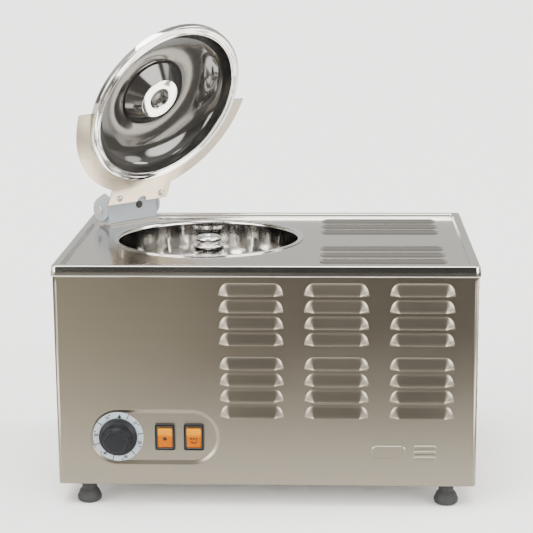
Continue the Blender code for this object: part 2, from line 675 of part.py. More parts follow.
# ---- controls ----------------------------------------------------------------------------------------
def timer(machine):
    floor_y = RECESS_DEPTH
    at = (DIAL_X, 0, CONTROL_Z)
    knob_axis = empty("knob_axis", machine, at)
    behind = floor_y + SHEET + GAP
    half = 0.020
    low = (DIAL_X - half, behind, CONTROL_Z - half)
    high = (DIAL_X + half, behind + 0.032, CONTROL_Z + half)
    case = place("timer_body", box_mesh(low, high), "black_plastic", machine, smooth=False)
    shaft_room = turned_mesh(ring_solid(0.0036, -0.01, behind + 0.012), 16)
    cut(case, moved(shaft_room, at, FACING_BACK))
    plate = ring_profile(0.0042, DIAL_RADIUS, floor_y - GAP - 0.0008, floor_y - GAP)
    place("dial_plate", turned_mesh(plate, 48), "dial", machine, at, FACING_BACK)
    back = floor_y - 2 * GAP - 0.0008
    bore = 0.0033
    knob = [
        (bore, back), (KNOB_RADIUS, back), (KNOB_RADIUS, -0.0030), (0.0205, -0.0042),
        (KNOB_GRIP_RADIUS, -0.0050),
        (KNOB_GRIP_RADIUS, -0.0170), (KNOB_CAP_RADIUS, -0.0195), (KNOB_CAP_RADIUS, 0.0010 - KNOB_REACH),
        (KNOB_CAP_RADIUS - 0.001, -KNOB_REACH), (0, -KNOB_REACH), (0, -0.0150), (bore, -0.0150),
    ]
    place("timer_knob", turned_mesh(knob, 32), "black_plastic", knob_axis, (0, 0, 0), FACING_BACK)
    shaft = turned_mesh(ring_solid(0.0030, -0.0147, behind + 0.0115), 16)
    place("timer_shaft", shaft, "steel", knob_axis, (0, 0, 0), FACING_BACK)


def switches(machine):
    names = (("cooling_switch", "cooling_rocker"), ("paddle_switch", "paddle_rocker"))
    for x, (switch, rocker) in zip(SWITCH_X, names):
        switch_body(machine, switch, x)
        pivot = empty(f"{rocker}_axis", machine, (x, ROCKER_PIVOT_Y, CONTROL_Z), (ROCKER_TILT, 0, 0))
        made = place(rocker, rocker_mesh(), "orange", pivot, smooth=False)
        round_edges(made, 0.0006)


def switch_body(machine, name, x):
    """A snap-in rocker housing: a bezel on the recess floor and a hollow body behind it."""
    bezel_back, bezel_front = RECESS_DEPTH - GAP, -0.0012
    low = (x - SWITCH_WIDTH / 2, CONTROL_Z - SWITCH_HEIGHT / 2)
    high = (x + SWITCH_WIDTH / 2, CONTROL_Z + SWITCH_HEIGHT / 2)
    bezel = prism_mesh(rounded_rectangle(low, high, 0.0025), -bezel_back, -bezel_front)
    body = place(name, moved(bezel, (0, 0, 0), FACING_FRONT), "black_plastic", machine)

    def block(half_x, half_z, front, back):
        return box_mesh((x - half_x, front, CONTROL_Z - half_z), (x + half_x, back, CONTROL_Z + half_z))

    weld_on(body, block(SWITCH_WIDTH / 2 - 0.0020, SWITCH_HEIGHT / 2 - 0.0020, bezel_back - 0.001, 0.026))
    cut(body, block(ROCKER_WIDTH / 2 + GAP, ROCKER_HEIGHT / 2 + 0.0012, -0.02, 0.0130))


def rocker_mesh():
    """The rocker's side view, drawn out along its pivot: two faces that meet in a shallow valley."""
    half = ROCKER_HEIGHT / 2
    outline = [(-half, -0.0088), (0, -0.0076), (half, -0.0088), (half - 0.0008, -0.002), (0.0060, 0.0036),
               (-0.0060, 0.0036), (0.0008 - half, -0.002)]
    side = prism_mesh([(y, z) for z, y in outline], -ROCKER_WIDTH / 2, ROCKER_WIDTH / 2)
    carry = Matrix(((0, 0, 1, 0), (1, 0, 0, 0), (0, 1, 0, 0), (0, 0, 0, 1)))
    side.transform(carry)
    return side


# ---- lid and hinge -----------------------------------------------------------------------------------
def hinge_frames(machine):
    turn = HINGE_TURN
    x = BOWL_X - HINGE_REACH * math.sin(turn)
    y = BOWL_Y + HINGE_REACH * math.cos(turn)
    fixed = empty("hinge_line", machine, (x, y, HINGE_Z), (0, 0, turn))
    moving = empty("lid_pivot", machine, (x, y, HINGE_Z), (-LID_OPEN, 0, turn))
    return fixed, moving


def side_view(outline, left, right):
    """An outline in (towards the bowl, up), drawn out along the pin from left to right."""
    mesh = prism_mesh(outline, left, right)
    mesh.transform(Matrix(((0, 0, 1, 0), (-1, 0, 0, 0), (0, 1, 0, 0), (0, 0, 0, 1))))
    return mesh


def along_pin(profile, segments):
    """A (radius, distance along the pin) profile turned about the pin."""
    mesh = turned_mesh(profile, segments)
    mesh.transform(Matrix.Rotation(math.radians(90), 4, "Y"))
    return mesh


def pin_hole(radius):
    return along_pin([(0, -0.1), (radius, -0.1), (radius, 0.1), (0, 0.1)], 24)


def hinge_base(fixed):
    tray_z = TRAY_TOP - HINGE_Z
    plate_low, plate_high = tray_z + GAP, tray_z + PLATE_THICK
    room = 0.0165
    front = -BLOCK_FRONT - 0.003
    outline = [(BLOCK_LEFT, front), (BLOCK_RIGHT, front), (BLOCK_RIGHT, -0.0135),
               (BLOCK_RIGHT - room, 0.0105), (BLOCK_LEFT + 0.012, 0.0105), (BLOCK_LEFT, -0.002)]
    place("hinge_plate", prism_mesh(outline, plate_low, plate_high), "steel", fixed, smooth=False)
    low, high = plate_high + GAP, BLOCK_TOP - HINGE_Z
    chamfer, shoulder = 0.0015, 0.008
    profile = [(-BLOCK_BACK, low), (BLOCK_FRONT, low), (BLOCK_FRONT, high - chamfer)]
    profile.append((BLOCK_FRONT - chamfer, high))
    profile += arc((-BLOCK_BACK + shoulder, high - shoulder), shoulder, 90, 180, 4)
    block = place("hinge_block", side_view(profile, BLOCK_LEFT, BLOCK_RIGHT), "cast_grey", fixed)
    cut(block, pin_hole(PIN_RADIUS + 0.00005))
    over_rim = RIM_TOP + GAP - HINGE_Z
    cut(block, box_mesh((BLOCK_RIGHT - 0.0125, -0.0036, low - 0.001), (BLOCK_RIGHT + 0.001, 0.02, over_rim)))
    head = 0.0055
    left, right = BLOCK_LEFT - CHEEK - 3 * GAP, BLOCK_RIGHT + CHEEK + 3 * GAP
    pin = [(0, left - 0.0015), (head, left - 0.0015), (head, left), (PIN_RADIUS, left), (PIN_RADIUS, right),
           (head, right), (head, right + 0.0015), (0, right + 0.0015)]
    place("hinge_pin", along_pin(pin, 24), "steel", fixed)
    bumper = [(0, 0), (0.0052, 0), (0.0052, 0.0016), (0.0040, 0.0026), (0, 0.0028)]
    at = (STOP_X, -BLOCK_FRONT - GAP, high - 0.0062)
    place("hinge_stop", turned_mesh(bumper, 20), "rubber", fixed, at, FACING_FRONT)


def hinge_leaf(moving):
    """The moving leaf: two cheeks on the pin's ends, and the web that the lid's tab is screwed to."""
    web_low = LID_Z - HINGE_Z + COLLAR_LIFT + COLLAR_SHEET + GAP
    web_high = web_low + 0.0040
    web_start, web_end = 0.0162, 0.0315
    cheek = [(TAB_GAP, web_low), (CHEEK_REACH - 0.003, web_low), (CHEEK_REACH, web_low + 0.003),
             (CHEEK_REACH, 0.0030)]
    cheek += arc((0, 0), CHEEK_RADIUS, 58, 248, 14)
    left_cheek = (BLOCK_LEFT - GAP - CHEEK, BLOCK_LEFT - GAP)
    right_cheek = (BLOCK_RIGHT + GAP, BLOCK_RIGHT + GAP + CHEEK)
    web = [(web_start, web_low), (web_end, web_low), (web_end, web_high), (web_start, web_high)]
    bar = side_view(web, left_cheek[0] + 0.001, right_cheek[1] - 0.001)
    leaf = place("hinge_leaf", bar, "cast_grey", moving)
    weld_on(leaf, joined([side_view(cheek, *left_cheek), side_view(cheek, *right_cheek)]))
    cut(leaf, pin_hole(PIN_RADIUS + 0.00030))


def collar_outline():
    """Plan of the lid's collar about the lid's own axis: a ring round its back half, and a tab."""
    inner = LID_RADIUS + 0.0004
    half = COLLAR_HALF_ANGLE
    start, end = math.degrees(math.pi / 2 - half), math.degrees(math.pi / 2 + half)
    right = math.degrees(math.acos(TAB_RIGHT / COLLAR_RADIUS))
    left = math.degrees(math.acos(TAB_LEFT / COLLAR_RADIUS))
    outer = arc((0, 0), COLLAR_RADIUS, start, right, 9) + [(TAB_RIGHT, TAB_END)]
    outer += tab_notch() + [(TAB_LEFT, TAB_END)] + arc((0, 0), COLLAR_RADIUS, left, end, 9)
    return outer + arc((0, 0), inner, end, start, 32)


def tab_notch():
    """The rounded notch in the tab's free edge that leaves room for the rubber stop."""
    radius = 0.0072
    run = arc((STOP_X, TAB_END - 0.001), radius, 0, -180, 8)
    return [(STOP_X + radius, TAB_END)] + run + [(STOP_X - radius, TAB_END)]


def lid_parts(moving):
    at = (0, -HINGE_REACH, LID_Z - HINGE_Z)
    collar = prism_mesh(collar_outline(), COLLAR_LIFT, COLLAR_LIFT + COLLAR_SHEET)
    place("lid_collar", collar, "steel", moving, at, smooth=False)
    place("lid_dome", turned_mesh(dome_profile(), 40), "mirror_steel", moving, at)
    for number, x in enumerate(TAB_SCREW_X, 1):
        place(f"tab_screw_{number}", screw_mesh(0.0044, 0.0026, 0.0010), "steel", moving,
              (x, at[1] + TAB_END - 0.0090, at[2] + COLLAR_LIFT - GAP), (math.radians(180), 0, 0))


def dome_inside():
    """The lid's hollow side, from the rim to the middle: dome, ring step, cone, flat and central dimple."""
    shoulder = [(0.1072, 0.0002), (0.1060, 0.0030)]
    foot_r, foot_z = 0.1055, 0.0045
    top_r, top_z = 0.0560, 0.0375
    steps = 5
    curve = []
    for i in range(steps + 1):
        a = math.radians(90) * i / steps
        curve.append((top_r + (foot_r - top_r) * math.cos(a), foot_z + (top_z - foot_z) * math.sin(a)))
    ring = [(0.0490, 0.0370), (0.0470, 0.0345)]
    cone = [(0.0271, 0.0185)]
    dimple = [(0.0145, 0.0185), (0.0128, 0.0204), (0.0080, 0.0240), (0, 0.0252)]
    return shoulder + curve + ring + cone + dimple


def dome_outside():
    """The same run, one wall thickness further out, from the middle back to the rim."""
    inside = [Vector((r, z)) for r, z in dome_inside()]
    outside = []
    for i, point in enumerate(inside):
        before, after = inside[max(i - 1, 0)], inside[min(i + 1, len(inside) - 1)]
        along = (after - before).normalized()
        normal = Vector((-along.y, along.x))
        if normal.y < 0:
            normal = -normal
        moved_point = point + normal * LID_WALL
        outside.append((max(moved_point.x, 0.0), moved_point.y))
    outside[-1] = (0, inside[-1].y + LID_WALL)
    return outside[::-1]


def dome_profile():
    inner, edge = LID_RADIUS - LID_WALL, 0.0006
    rim = [(inner, LID_WALL), (inner, LID_RIM), (LID_RADIUS, LID_RIM), (LID_RADIUS, edge)]
    return rim + [(LID_RADIUS - edge, 0)] + dome_inside() + dome_outside()[:-1]


# ---- cooling unit ------------------------------------------------------------------------------------
def compressor_unit(machine):
    at = (COMPRESSOR_X, COMPRESSOR_Y, 0)
    plate_z = FOOT_HEIGHT + SHEET + 0.012
    body_base = plate_z + 0.002 + GAP
    r = COMPRESSOR_RADIUS
    body_top = body_base + COMPRESSOR_HEIGHT - GAP
    profile = [(0, body_base), (r * 0.62, body_base), (r * 0.92, body_base + 0.014), (r, body_base + 0.034),
               (r, body_base + 0.078), (r * 1.035, body_base + 0.080), (r * 1.035, body_base + 0.084),
               (r, body_base + 0.086), (r, body_top - 0.032), (r * 0.90, body_top - 0.014),
               (r * 0.60, body_top - 0.003), (0, body_top)]
    place("compressor", turned_mesh(profile, 24), "black_paint", machine, at)
    half = 0.066
    outline = rounded_rectangle((-half, -half), (half, half), 0.012)
    plate = place("compressor_plate", prism_mesh(outline, plate_z, plate_z + 0.002), "steel", machine, at)
    spots = [(x, y) for x in (-0.054, 0.054) for y in (-0.054, 0.054)]
    holes = [moved(turned_mesh(ring_solid(0.0050, -0.02, 0.02), 16), (x, y, plate_z)) for x, y in spots]
    cut(plate, joined(holes))
    low, high = FOOT_HEIGHT + SHEET + GAP - plate_z, 0.0060
    grommet = [(0, low), (0.0085, low), (0.0085, -GAP), (0.0046, -GAP), (0.0046, 0.0023), (0.0075, 0.0023),
               (0.0070, high), (0, high)]
    for number, (x, y) in enumerate(spots, 1):
        spot = (at[0] + x, at[1] + y, plate_z)
        place(f"grommet_{number}", turned_mesh(grommet, 12), "rubber", machine, spot)
    cover = box_mesh((-0.018, -r - 0.022, body_base + 0.045), (0.018, -r - 0.001, body_base + 0.080))
    made = place("compressor_terminal_cover", cover, "black_plastic", machine, at, smooth=False)
    round_edges(made, 0.002)


def ring_solid(radius, low, high):
    return [(0, low), (radius, low), (radius, high), (0, high)]


def fan_unit(machine):
    """The condenser against the right-hand louvres, and the fan that draws air through it."""
    at = (0, FAN_Y, FAN_Z)
    along_x = (0, math.radians(90), 0)
    half = 0.088
    frame_x, frame_depth = 0.2140, 0.0300
    ring = prism_mesh(rounded_rectangle((-half, -half), (half, half), 0.006), 0, frame_depth)
    frame = place("condenser_frame", ring, "aluminium", machine, (frame_x, *at[1:]), along_x)
    window = half - 0.004
    opening = rounded_rectangle((-window, -window), (window, window), 0.003)
    cut(frame, prism_mesh(opening, -0.01, frame_depth + 0.01))
    condenser_coil(machine, frame_x + frame_depth / 2)
    shroud_depth, throat = 0.0220, FAN_RADIUS + 0.003
    shroud_x = frame_x - GAP - shroud_depth
    plate = prism_mesh(rounded_rectangle((-half, -half), (half, half), 0.006), 0, shroud_depth)
    shroud = place("fan_shroud", plate, "black_paint", machine, (shroud_x, *at[1:]), along_x)
    inner = half - 0.002
    cut(shroud, prism_mesh(rounded_rectangle((-inner, -inner), (inner, inner), 0.004), 0.002, 0.1))
    cut(shroud, turned_mesh(ring_solid(throat, -0.01, 0.1), 48))
    reach, stand = throat + 0.004, 0.0280
    arms = [box_mesh((-reach, -0.004, -stand), (reach, 0.004, 0.0025 - stand)),
            box_mesh((-reach, -0.004, -stand), (-throat - 0.0005, 0.004, 0.0010)),
            box_mesh((throat + 0.0005, -0.004, -stand), (reach, 0.004, 0.0010))]
    for arm in arms:
        weld_on(shroud, arm)
    motor_x = shroud_x + 0.0025 - stand + GAP
    motor = turned_mesh(ring_solid(0.0210, 0, 0.0180), 24)
    place("fan_motor", motor, "black_paint", machine, (motor_x, *at[1:]), along_x)
    spin = empty("fan_axis", machine, (motor_x + 0.0180 + GAP, *at[1:]))
    hub = turned_mesh(ring_solid(0.0170, 0, 0.0130), 24)
    hub = place("fan_blades", hub, "aluminium", spin, (0, 0, 0), along_x)
    weld_on(hub, joined([fan_blade(math.tau * k / 5) for k in range(5)]))


def fan_blade(turn):
    blade = box_mesh((0.0150, -0.0160, -0.0008), (FAN_RADIUS - 0.002, 0.0160, 0.0008))
    pitched = moved(blade, (0, 0, 0.0065), (math.radians(18), 0, 0))
    return moved(pitched, (0, 0, 0), (0, 0, turn))


def condenser_coil(machine, x):
    """A flat serpentine of tube inside the condenser's frame."""
    half_y, passes, pitch, bend = 0.072, 7, 0.0240, 0.0100
    corners = [(x, FAN_Y - half_y, FAN_Z - pitch * (passes - 1) / 2)]
    for row in range(passes):
        side = 1 if row % 2 == 0 else -1
        z = FAN_Z - pitch * (passes - 1) / 2 + pitch * row
        corners.append((x, FAN_Y + side * half_y, z))
        if row < passes - 1:
            corners.append((x, FAN_Y + side * half_y, z + pitch))
    tube("condenser_coil", smooth_run(corners, bend, 4), 0.0045, "copper", machine, 1)


def pipes_and_boxes(machine):
    top = FOOT_HEIGHT + SHEET + 0.012 + 0.002 + COMPRESSOR_HEIGHT
    x, y, low, high = COMPRESSOR_X - 0.020, COMPRESSOR_Y + 0.080, top - 0.040, top + 0.050
    suction = [(x, COMPRESSOR_Y + 0.066, low), (x, y, low), (x, y, high),
               (0.0720, COMPRESSOR_Y + 0.060, high)]
    tube("suction_line", smooth_run(suction, 0.010), 0.0040, "copper", machine)
    x, y, z = COMPRESSOR_X + 0.080, COMPRESSOR_Y + 0.060, top - 0.060
    discharge = [(COMPRESSOR_X + 0.066, COMPRESSOR_Y + 0.010, z), (x, COMPRESSOR_Y + 0.010, z), (x, y, z),
                 (0.2290, y, z)]
    tube("discharge_line", smooth_run(discharge, 0.010), 0.0030, "copper", machine)
    upper = [(0.0100, 0.036), (0.0035, 0.042), (0.0035, 0.055), (0, 0.055)]
    drier = [(r, -z) for r, z in reversed(upper)] + upper
    place("filter_drier", turned_mesh(drier, 14), "copper", machine, (0.0200, 0.0300, FOOT_HEIGHT + 0.085))
    terminal = box_mesh((0.060, 0.030, FOOT_HEIGHT + 0.016), (0.135, 0.075, FOOT_HEIGHT + 0.076))
    round_edges(place("terminal_box", terminal, "black_plastic", machine, smooth=False), 0.002)
    capacitor = turned_mesh([(0, 0), (0.0165, 0), (0.0165, 0.058), (0.0120, 0.062), (0, 0.062)], 24)
    place("run_capacitor", capacitor, "aluminium", machine, (-0.0100, 0.0800, FOOT_HEIGHT + 0.003))


def build():
    clear_scene()
    machine = empty("machine", None, (-MIDDLE_X, -MIDDLE_Y, 0))
    case_wrap(machine)
    base_pan(machine)
    rear_panel(machine)
    cord_gland(machine)
    feet(machine)
    top_tray(machine)
    bowl(machine)
    evaporator_coil(machine)
    bowl_insulation(machine)
    drive_train(machine)
    paddle_drive(machine)
    timer(machine)
    switches(machine)
    fixed, moving = hinge_frames(machine)
    hinge_base(fixed)
    hinge_leaf(moving)
    lid_parts(moving)
    compressor_unit(machine)
    fan_unit(machine)
    pipes_and_boxes(machine)


build()
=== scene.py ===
"""The finished look of the countertop ice-cream machine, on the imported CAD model's frame. Metres, +Z up."""

import json
import math

import bmesh
import bpy
from mathutils import Matrix, Vector
from mathutils.geometry import delaunay_2d_cdt


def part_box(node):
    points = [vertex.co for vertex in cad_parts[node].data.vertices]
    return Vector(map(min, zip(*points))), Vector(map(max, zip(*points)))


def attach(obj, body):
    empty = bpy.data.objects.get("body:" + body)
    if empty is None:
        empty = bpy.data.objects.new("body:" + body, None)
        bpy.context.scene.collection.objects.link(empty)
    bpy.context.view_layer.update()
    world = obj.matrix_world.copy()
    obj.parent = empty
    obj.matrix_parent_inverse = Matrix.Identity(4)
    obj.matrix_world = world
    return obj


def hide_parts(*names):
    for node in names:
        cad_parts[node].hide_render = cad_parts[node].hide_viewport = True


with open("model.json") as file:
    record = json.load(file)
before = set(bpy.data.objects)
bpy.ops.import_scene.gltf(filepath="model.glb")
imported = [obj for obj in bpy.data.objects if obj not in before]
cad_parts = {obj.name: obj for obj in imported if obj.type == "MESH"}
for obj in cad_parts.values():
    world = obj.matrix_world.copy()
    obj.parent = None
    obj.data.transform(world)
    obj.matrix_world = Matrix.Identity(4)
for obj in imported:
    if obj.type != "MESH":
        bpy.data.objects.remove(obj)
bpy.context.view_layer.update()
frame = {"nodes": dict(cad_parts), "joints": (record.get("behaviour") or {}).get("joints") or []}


# ---- driving dimensions, as in the CAD ----
SIDE = 0.255
CORNER = 0.005
SHEET = 0.0012
TRAY_OVERHANG = 0.002
RIM_BAND = 0.011
SKIRT_BOW = 0.0012
RIM_SLOPE, RIM_FOOT = 0.0022, 0.0050
TRAY_RECESS = 0.005
HOLE_MARGIN = 0.0019
LOUVRE_WIDTH, LOUVRE_HEIGHT, LOUVRE_REACH = 0.0766, 0.0158, 0.0047
LOUVRE_PITCH_X, LOUVRE_PITCH_Z = 0.1024, 0.0202
LOUVRE_FIRST_X, LOUVRE_FIRST_Y = -0.0549, 0.037
LOUVRE_BANKS = (0.1142, 0.2050)
LOUVRE_END = 0.0115
TOP_LOUVRE_X = (0.0640, 0.2210)
TOP_LOUVRE_FRONTS, TOP_LOUVRE_PITCH = (0.037, 0.223), 0.039
TOP_LOUVRE_LENGTH, TOP_LOUVRE_REACH, TOP_LOUVRE_END = 0.0130, 0.0034, 0.0075
CONTROL_Z = 0.0885
RECESS_RADIUS, RECESS_DEPTH, RECESS_END_X = 0.0342, 0.002, -0.0565
DIAL_X, DIAL_RADIUS = -0.1803, 0.0310
EMBOSSING = 0.0014
PILL, PILL_RADIUS = (0.1290, 0.1690, 0.0630, 0.0790), 0.0055
BAR_SPAN, BAR_LOW, BAR_HEIGHT, BAR_PITCH = (0.1800, 0.2060), 0.0620, 0.0036, 0.0070
ROCKER_HALF_X, ROCKER_HALF_Z = 0.0090, 0.0126
HINGE_REACH = 0.1712
LID_RADIUS, LID_RIM, LID_MOUTH = 0.118, 0.008, 0.1055
RING_INNER, RING_OUTER = 0.0135, 0.0282
COLLAR_RADIUS, COLLAR_LIFT, COLLAR_SHEET = 0.1395, 0.005, 0.0015
TAB_LEFT, TAB_RIGHT, TAB_END = -0.049, 0.053, 0.1555
BLOCK_LEFT, BLOCK_RIGHT, BLOCK_FRONT, BLOCK_BACK = -0.0430, 0.0400, 0.0140, 0.0090
BLOCK_NOTCH = 0.0125
CHEEK_RADIUS, CHEEK_THICK, GAP = 0.0159, 0.0042, 0.0003
STOP_X = 0.0085

# ---- places read from the frame ----
tray_low, tray_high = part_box("top_tray")
wrap_low, wrap_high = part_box("case_wrap")
bowl_low, bowl_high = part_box("bowl")
CASE_X = (tray_low.x + tray_high.x) / 2
CASE_Y = tray_low.y + TRAY_OVERHANG
CASE_DEPTH = tray_high.y - tray_low.y - 2 * TRAY_OVERHANG
RIM_TOP = tray_high.z
TRAY_TOP = RIM_TOP - TRAY_RECESS
FOOT_HEIGHT = wrap_low.z
BOWL = (bowl_low + bowl_high) / 2
BOWL_AXIS = Matrix.Translation((BOWL.x, BOWL.y, 0))
CASE = Matrix.Translation((CASE_X, CASE_Y, 0))
JOINTS = {joint["name"]: joint for joint in frame["joints"]}
HINGE = Vector(JOINTS["lid_hinge"]["pos_m"])
HINGE_TURN, LID_OPEN = math.radians(45), math.radians(64)
HINGE_LINE = Matrix.Translation(HINGE) @ Matrix.Rotation(HINGE_TURN, 4, "Z")
LEAF = HINGE_LINE @ Matrix.Rotation(-LID_OPEN, 4, "X")
LID_SEAT = TRAY_TOP + 0.0019 - HINGE.z
LID = LEAF @ Matrix.Translation((0, -HINGE_REACH, LID_SEAT))


def placed(name, data):
    """A new object in the scene."""
    piece = bpy.data.objects.new(name, data)
    bpy.context.scene.collection.objects.link(piece)
    return piece


# ---- camera ----
def make_camera():
    yaw, pitch, roll = -0.0451, 0.2128, -0.0075
    level_reach = math.cos(pitch)
    forward = Vector((math.sin(yaw) * level_reach, math.cos(yaw) * level_reach, -math.sin(pitch)))
    right = Vector((math.cos(yaw), -math.sin(yaw), 0))
    up = right.cross(forward)
    facing = Matrix((right, up, -forward)).transposed().to_4x4()
    camera = placed("camera", bpy.data.cameras.new("camera"))
    place = Matrix.Translation((CASE_X + 0.0875, CASE_Y - 1.8849, 0.7092))
    camera.matrix_world = place @ facing @ Matrix.Rotation(roll, 4, "Z")
    camera.data.sensor_width = 36
    camera.data.lens = 109.81
    camera.data.clip_end = 100
    bpy.context.scene.camera = camera


# ---- light ----
# brightness against height, from straight down (0) over the horizon (0.5) to straight up (1)
FRONT_WALL = [(0.0, 0.30), (0.44, 0.20), (0.50, 0.06), (0.58, 0.10), (0.68, 0.45), (0.80, 0.80), (1.0, 0.95)]
BACK_WALL = [(0.0, 0.40), (0.50, 0.92), (0.64, 0.90), (0.75, 0.60), (0.92, 0.45), (1.0, 0.60)]
# (direction, cosine where the edge starts, cosine of full strength, strength)
LAMPS = (
    ((-0.74, -0.64, 0.16), 0.890, 0.945, 11.0),
    ((0.74, -0.64, 0.16), 0.890, 0.945, 11.0),
    ((0.10, -0.50, 0.86), 0.985, 0.993, 9.0),
    ((-0.35, -0.55, 0.76), 0.990, 0.996, 9.0),
    ((0.95, 0.10, 0.35), 0.975, 0.990, 5.0),
    ((0.72, 0.17, 0.67), 0.975, 0.988, 14.0),
    ((0.30, 0.30, 0.90), 0.990, 0.996, 8.0),
)
# dark cards in front of the lamps, in the same form
FLAGS = (((-0.80, -0.58, 0.10), 0.992, 0.998, 0.9),)


def make_world():
    """A studio: dim in front, pale behind, with a tall soft lamp on either side and small lamps above."""
    world = bpy.data.worlds.new("studio")
    world.use_nodes = True
    bpy.context.scene.world = world
    tree = Nodes(world.node_tree)
    direction = tree.add("ShaderNodeTexCoord").outputs["Generated"]
    split = tree.add("ShaderNodeSeparateXYZ", Vector=direction)
    front = tree.ramp(split.outputs["Z"], FRONT_WALL)
    back = tree.ramp(split.outputs["Z"], BACK_WALL)
    behind = tree.step(split.outputs["Y"], -0.3, 0.5)
    level = tree.maths("MULTIPLY_ADD", behind, tree.maths("SUBTRACT", back, front), front)
    for aim, start, full, strength in LAMPS:
        level = tree.maths("ADD", level, tree.glow(direction, aim, start, full, strength))
    for aim, start, full, strength in FLAGS:
        left = tree.maths("SUBTRACT", 1.0, tree.glow(direction, aim, start, full, strength))
        level = tree.maths("MULTIPLY", level, left)
    tree.fill(world.node_tree.nodes["Background"], Color=(1.0, 0.975, 0.94), Strength=level)


def make_lights():
    """A wide, soft light from straight above, and a small lamp low on the left."""
    sky = bpy.data.lights.new("overhead", "SUN")
    sky.energy = 4.5
    sky.angle = math.radians(40)
    placed("overhead", sky).rotation_euler = (math.radians(6), math.radians(-6), 0)
    disc = bpy.data.lights.new("key_left", "AREA")
    disc.shape = "DISK"
    disc.size = 1.2
    disc.energy = 6
    disc.color = (1, 0.97, 0.93)
    key = placed("key_left", disc)
    key.location = (-1.8, -1.6, 1.8)
    key.rotation_euler = (Vector((0, 0, 0.3)) - key.location).to_track_quat("-Z", "Y").to_euler()


def make_floor():
    """A pale floor with painted light and shade: a pale pool round the machine, darkening well away from it,
    ahead and towards the right, which shades what the steel reflects.
    """
    mesh = bpy.data.meshes.new("floor")
    size = 30
    corners = [(-size, -size, 0), (size, -size, 0), (size, size, 0), (-size, size, 0)]
    mesh.from_pydata(corners, [], [(0, 1, 2, 3)])
    floor = placed("floor", mesh)
    material, tree, shader = new_material("floor_painted_light_and_shade")
    place = tree.add("ShaderNodeTexCoord").outputs["Object"]
    split = tree.add("ShaderNodeSeparateXYZ", Vector=place)
    # painted shade: the floor's colour falls from pale near the machine to dark ahead of it, beside it and to
    # the right
    spread = tree.maths("MULTIPLY_ADD", tree.maths("MAXIMUM", split.outputs["Y"], 0.0), -0.22,
                        tree.maths("ABSOLUTE", split.outputs["X"]))
    beside = tree.step(spread, 0.42, 0.90)
    ahead = tree.step(split.outputs["Y"], -0.20, -0.85)
    apart = tree.maths("MAXIMUM", beside, ahead)
    shade = tree.step(split.outputs["X"], -0.42, -0.02)
    far = tree.blend(shade, (0.44, 0.41, 0.35), (0.065, 0.06, 0.052))
    distant = tree.step(split.outputs["Y"], -1.2, -2.4, 0.0, 0.9)
    far = tree.blend(distant, far, (0.025, 0.024, 0.023))
    painted_light_and_shade = tree.blend(apart, (0.90, 0.90, 0.895), far)
    tree.fill(shader, Base_Color=painted_light_and_shade, Roughness=0.9, Specular_IOR_Level=0.1)
    mesh.materials.append(material)


# ---- materials ----
class Nodes:
    """Short calls for adding and joining shader nodes."""

    def __init__(self, tree):
        self.tree = tree

    def add(self, kind, settings=None, **inputs):
        node = self.tree.nodes.new(kind)
        for key, value in (settings or {}).items():
            setattr(node, key, value)
        self.fill(node, **inputs)
        return node

    def fill(self, node, **inputs):
        """Feeds a node's inputs, given by name with _ for each space."""
        for key, value in inputs.items():
            self.feed(node.inputs[key.replace("_", " ")], value)

    def feed(self, socket, value):
        """Links an input, or sets it. A colour is given without its alpha."""
        if isinstance(value, bpy.types.NodeSocket):
            self.tree.links.new(value, socket)
        else:
            socket.default_value = (*value, 1) if socket.type == "RGBA" else value

    def maths(self, operation, first, second=0.0, third=0.0):
        node = self.tree.nodes.new("ShaderNodeMath")
        node.operation = operation
        for socket, value in zip(node.inputs, (first, second, third)):
            self.feed(socket, value)
        return node.outputs[0]

    def step(self, value, low, high, start=0.0, end=1.0, kind="SMOOTHSTEP"):
        """A rise from start to end as the value goes from low to high."""
        node = self.add("ShaderNodeMapRange", {"interpolation_type": kind}, Value=value, From_Min=low,
                        From_Max=high, To_Min=start, To_Max=end)
        return node.outputs["Result"]

    def ramp(self, value, stops):
        """A curve through (position, level) stops, for a value that runs from -1 to 1."""
        node = self.add("ShaderNodeFloatCurve", Value=self.maths("MULTIPLY_ADD", value, 0.5, 0.5))
        curve = node.mapping.curves[0]
        for point, (position, level) in zip((curve.points[0], curve.points[-1]), (stops[0], stops[-1])):
            point.location = (position, level)
        for position, level in stops[1:-1]:
            curve.points.new(position, level)
        node.mapping.update()
        return node.outputs["Value"]

    def glow(self, direction, aim, start, full, strength):
        """A soft round patch of light about a direction. Its edge and its full part are given as cosines."""
        aim = Vector(aim).normalized()
        dot = self.add("ShaderNodeVectorMath", {"operation": "DOT_PRODUCT"})
        self.feed(dot.inputs[0], direction)
        dot.inputs[1].default_value = aim
        return self.step(dot.outputs["Value"], start, full, 0.0, strength)

    def noise(self, scale, stretch=(1, 1, 1), detail=3.0, roughness=0.5, turn=None):
        place = self.add("ShaderNodeTexCoord").outputs["Object"]
        if turn:
            turned = self.add("ShaderNodeVectorRotate", {"rotation_type": "EULER_XYZ", "invert": True},
                              Vector=place, Rotation=turn.to_euler())
            place = turned.outputs["Vector"]
        mapping = self.add("ShaderNodeMapping", Vector=place, Scale=stretch)
        node = self.add("ShaderNodeTexNoise", Vector=mapping.outputs["Vector"], Scale=scale, Detail=detail,
                        Roughness=roughness)
        return node.outputs["Fac"]

    def spread(self, value, low, high):
        """A noise's usual values, 0.3 to 0.7, spread from low to high."""
        return self.step(value, 0.3, 0.7, low, high, "LINEAR")

    def blend(self, factor, first, second):
        node = self.add("ShaderNodeMix", {"data_type": "RGBA"})
        self.feed(node.inputs["Factor"], factor)
        self.feed(node.inputs[6], first)
        self.feed(node.inputs[7], second)
        return node.outputs[2]

    def bump(self, height, strength, distance):
        node = self.add("ShaderNodeBump", Height=height, Strength=strength, Distance=distance)
        return node.outputs["Normal"]


def new_material(name):
    material = bpy.data.materials.new(name)
    material.use_nodes = True
    return material, Nodes(material.node_tree), material.node_tree.nodes["Principled BSDF"]


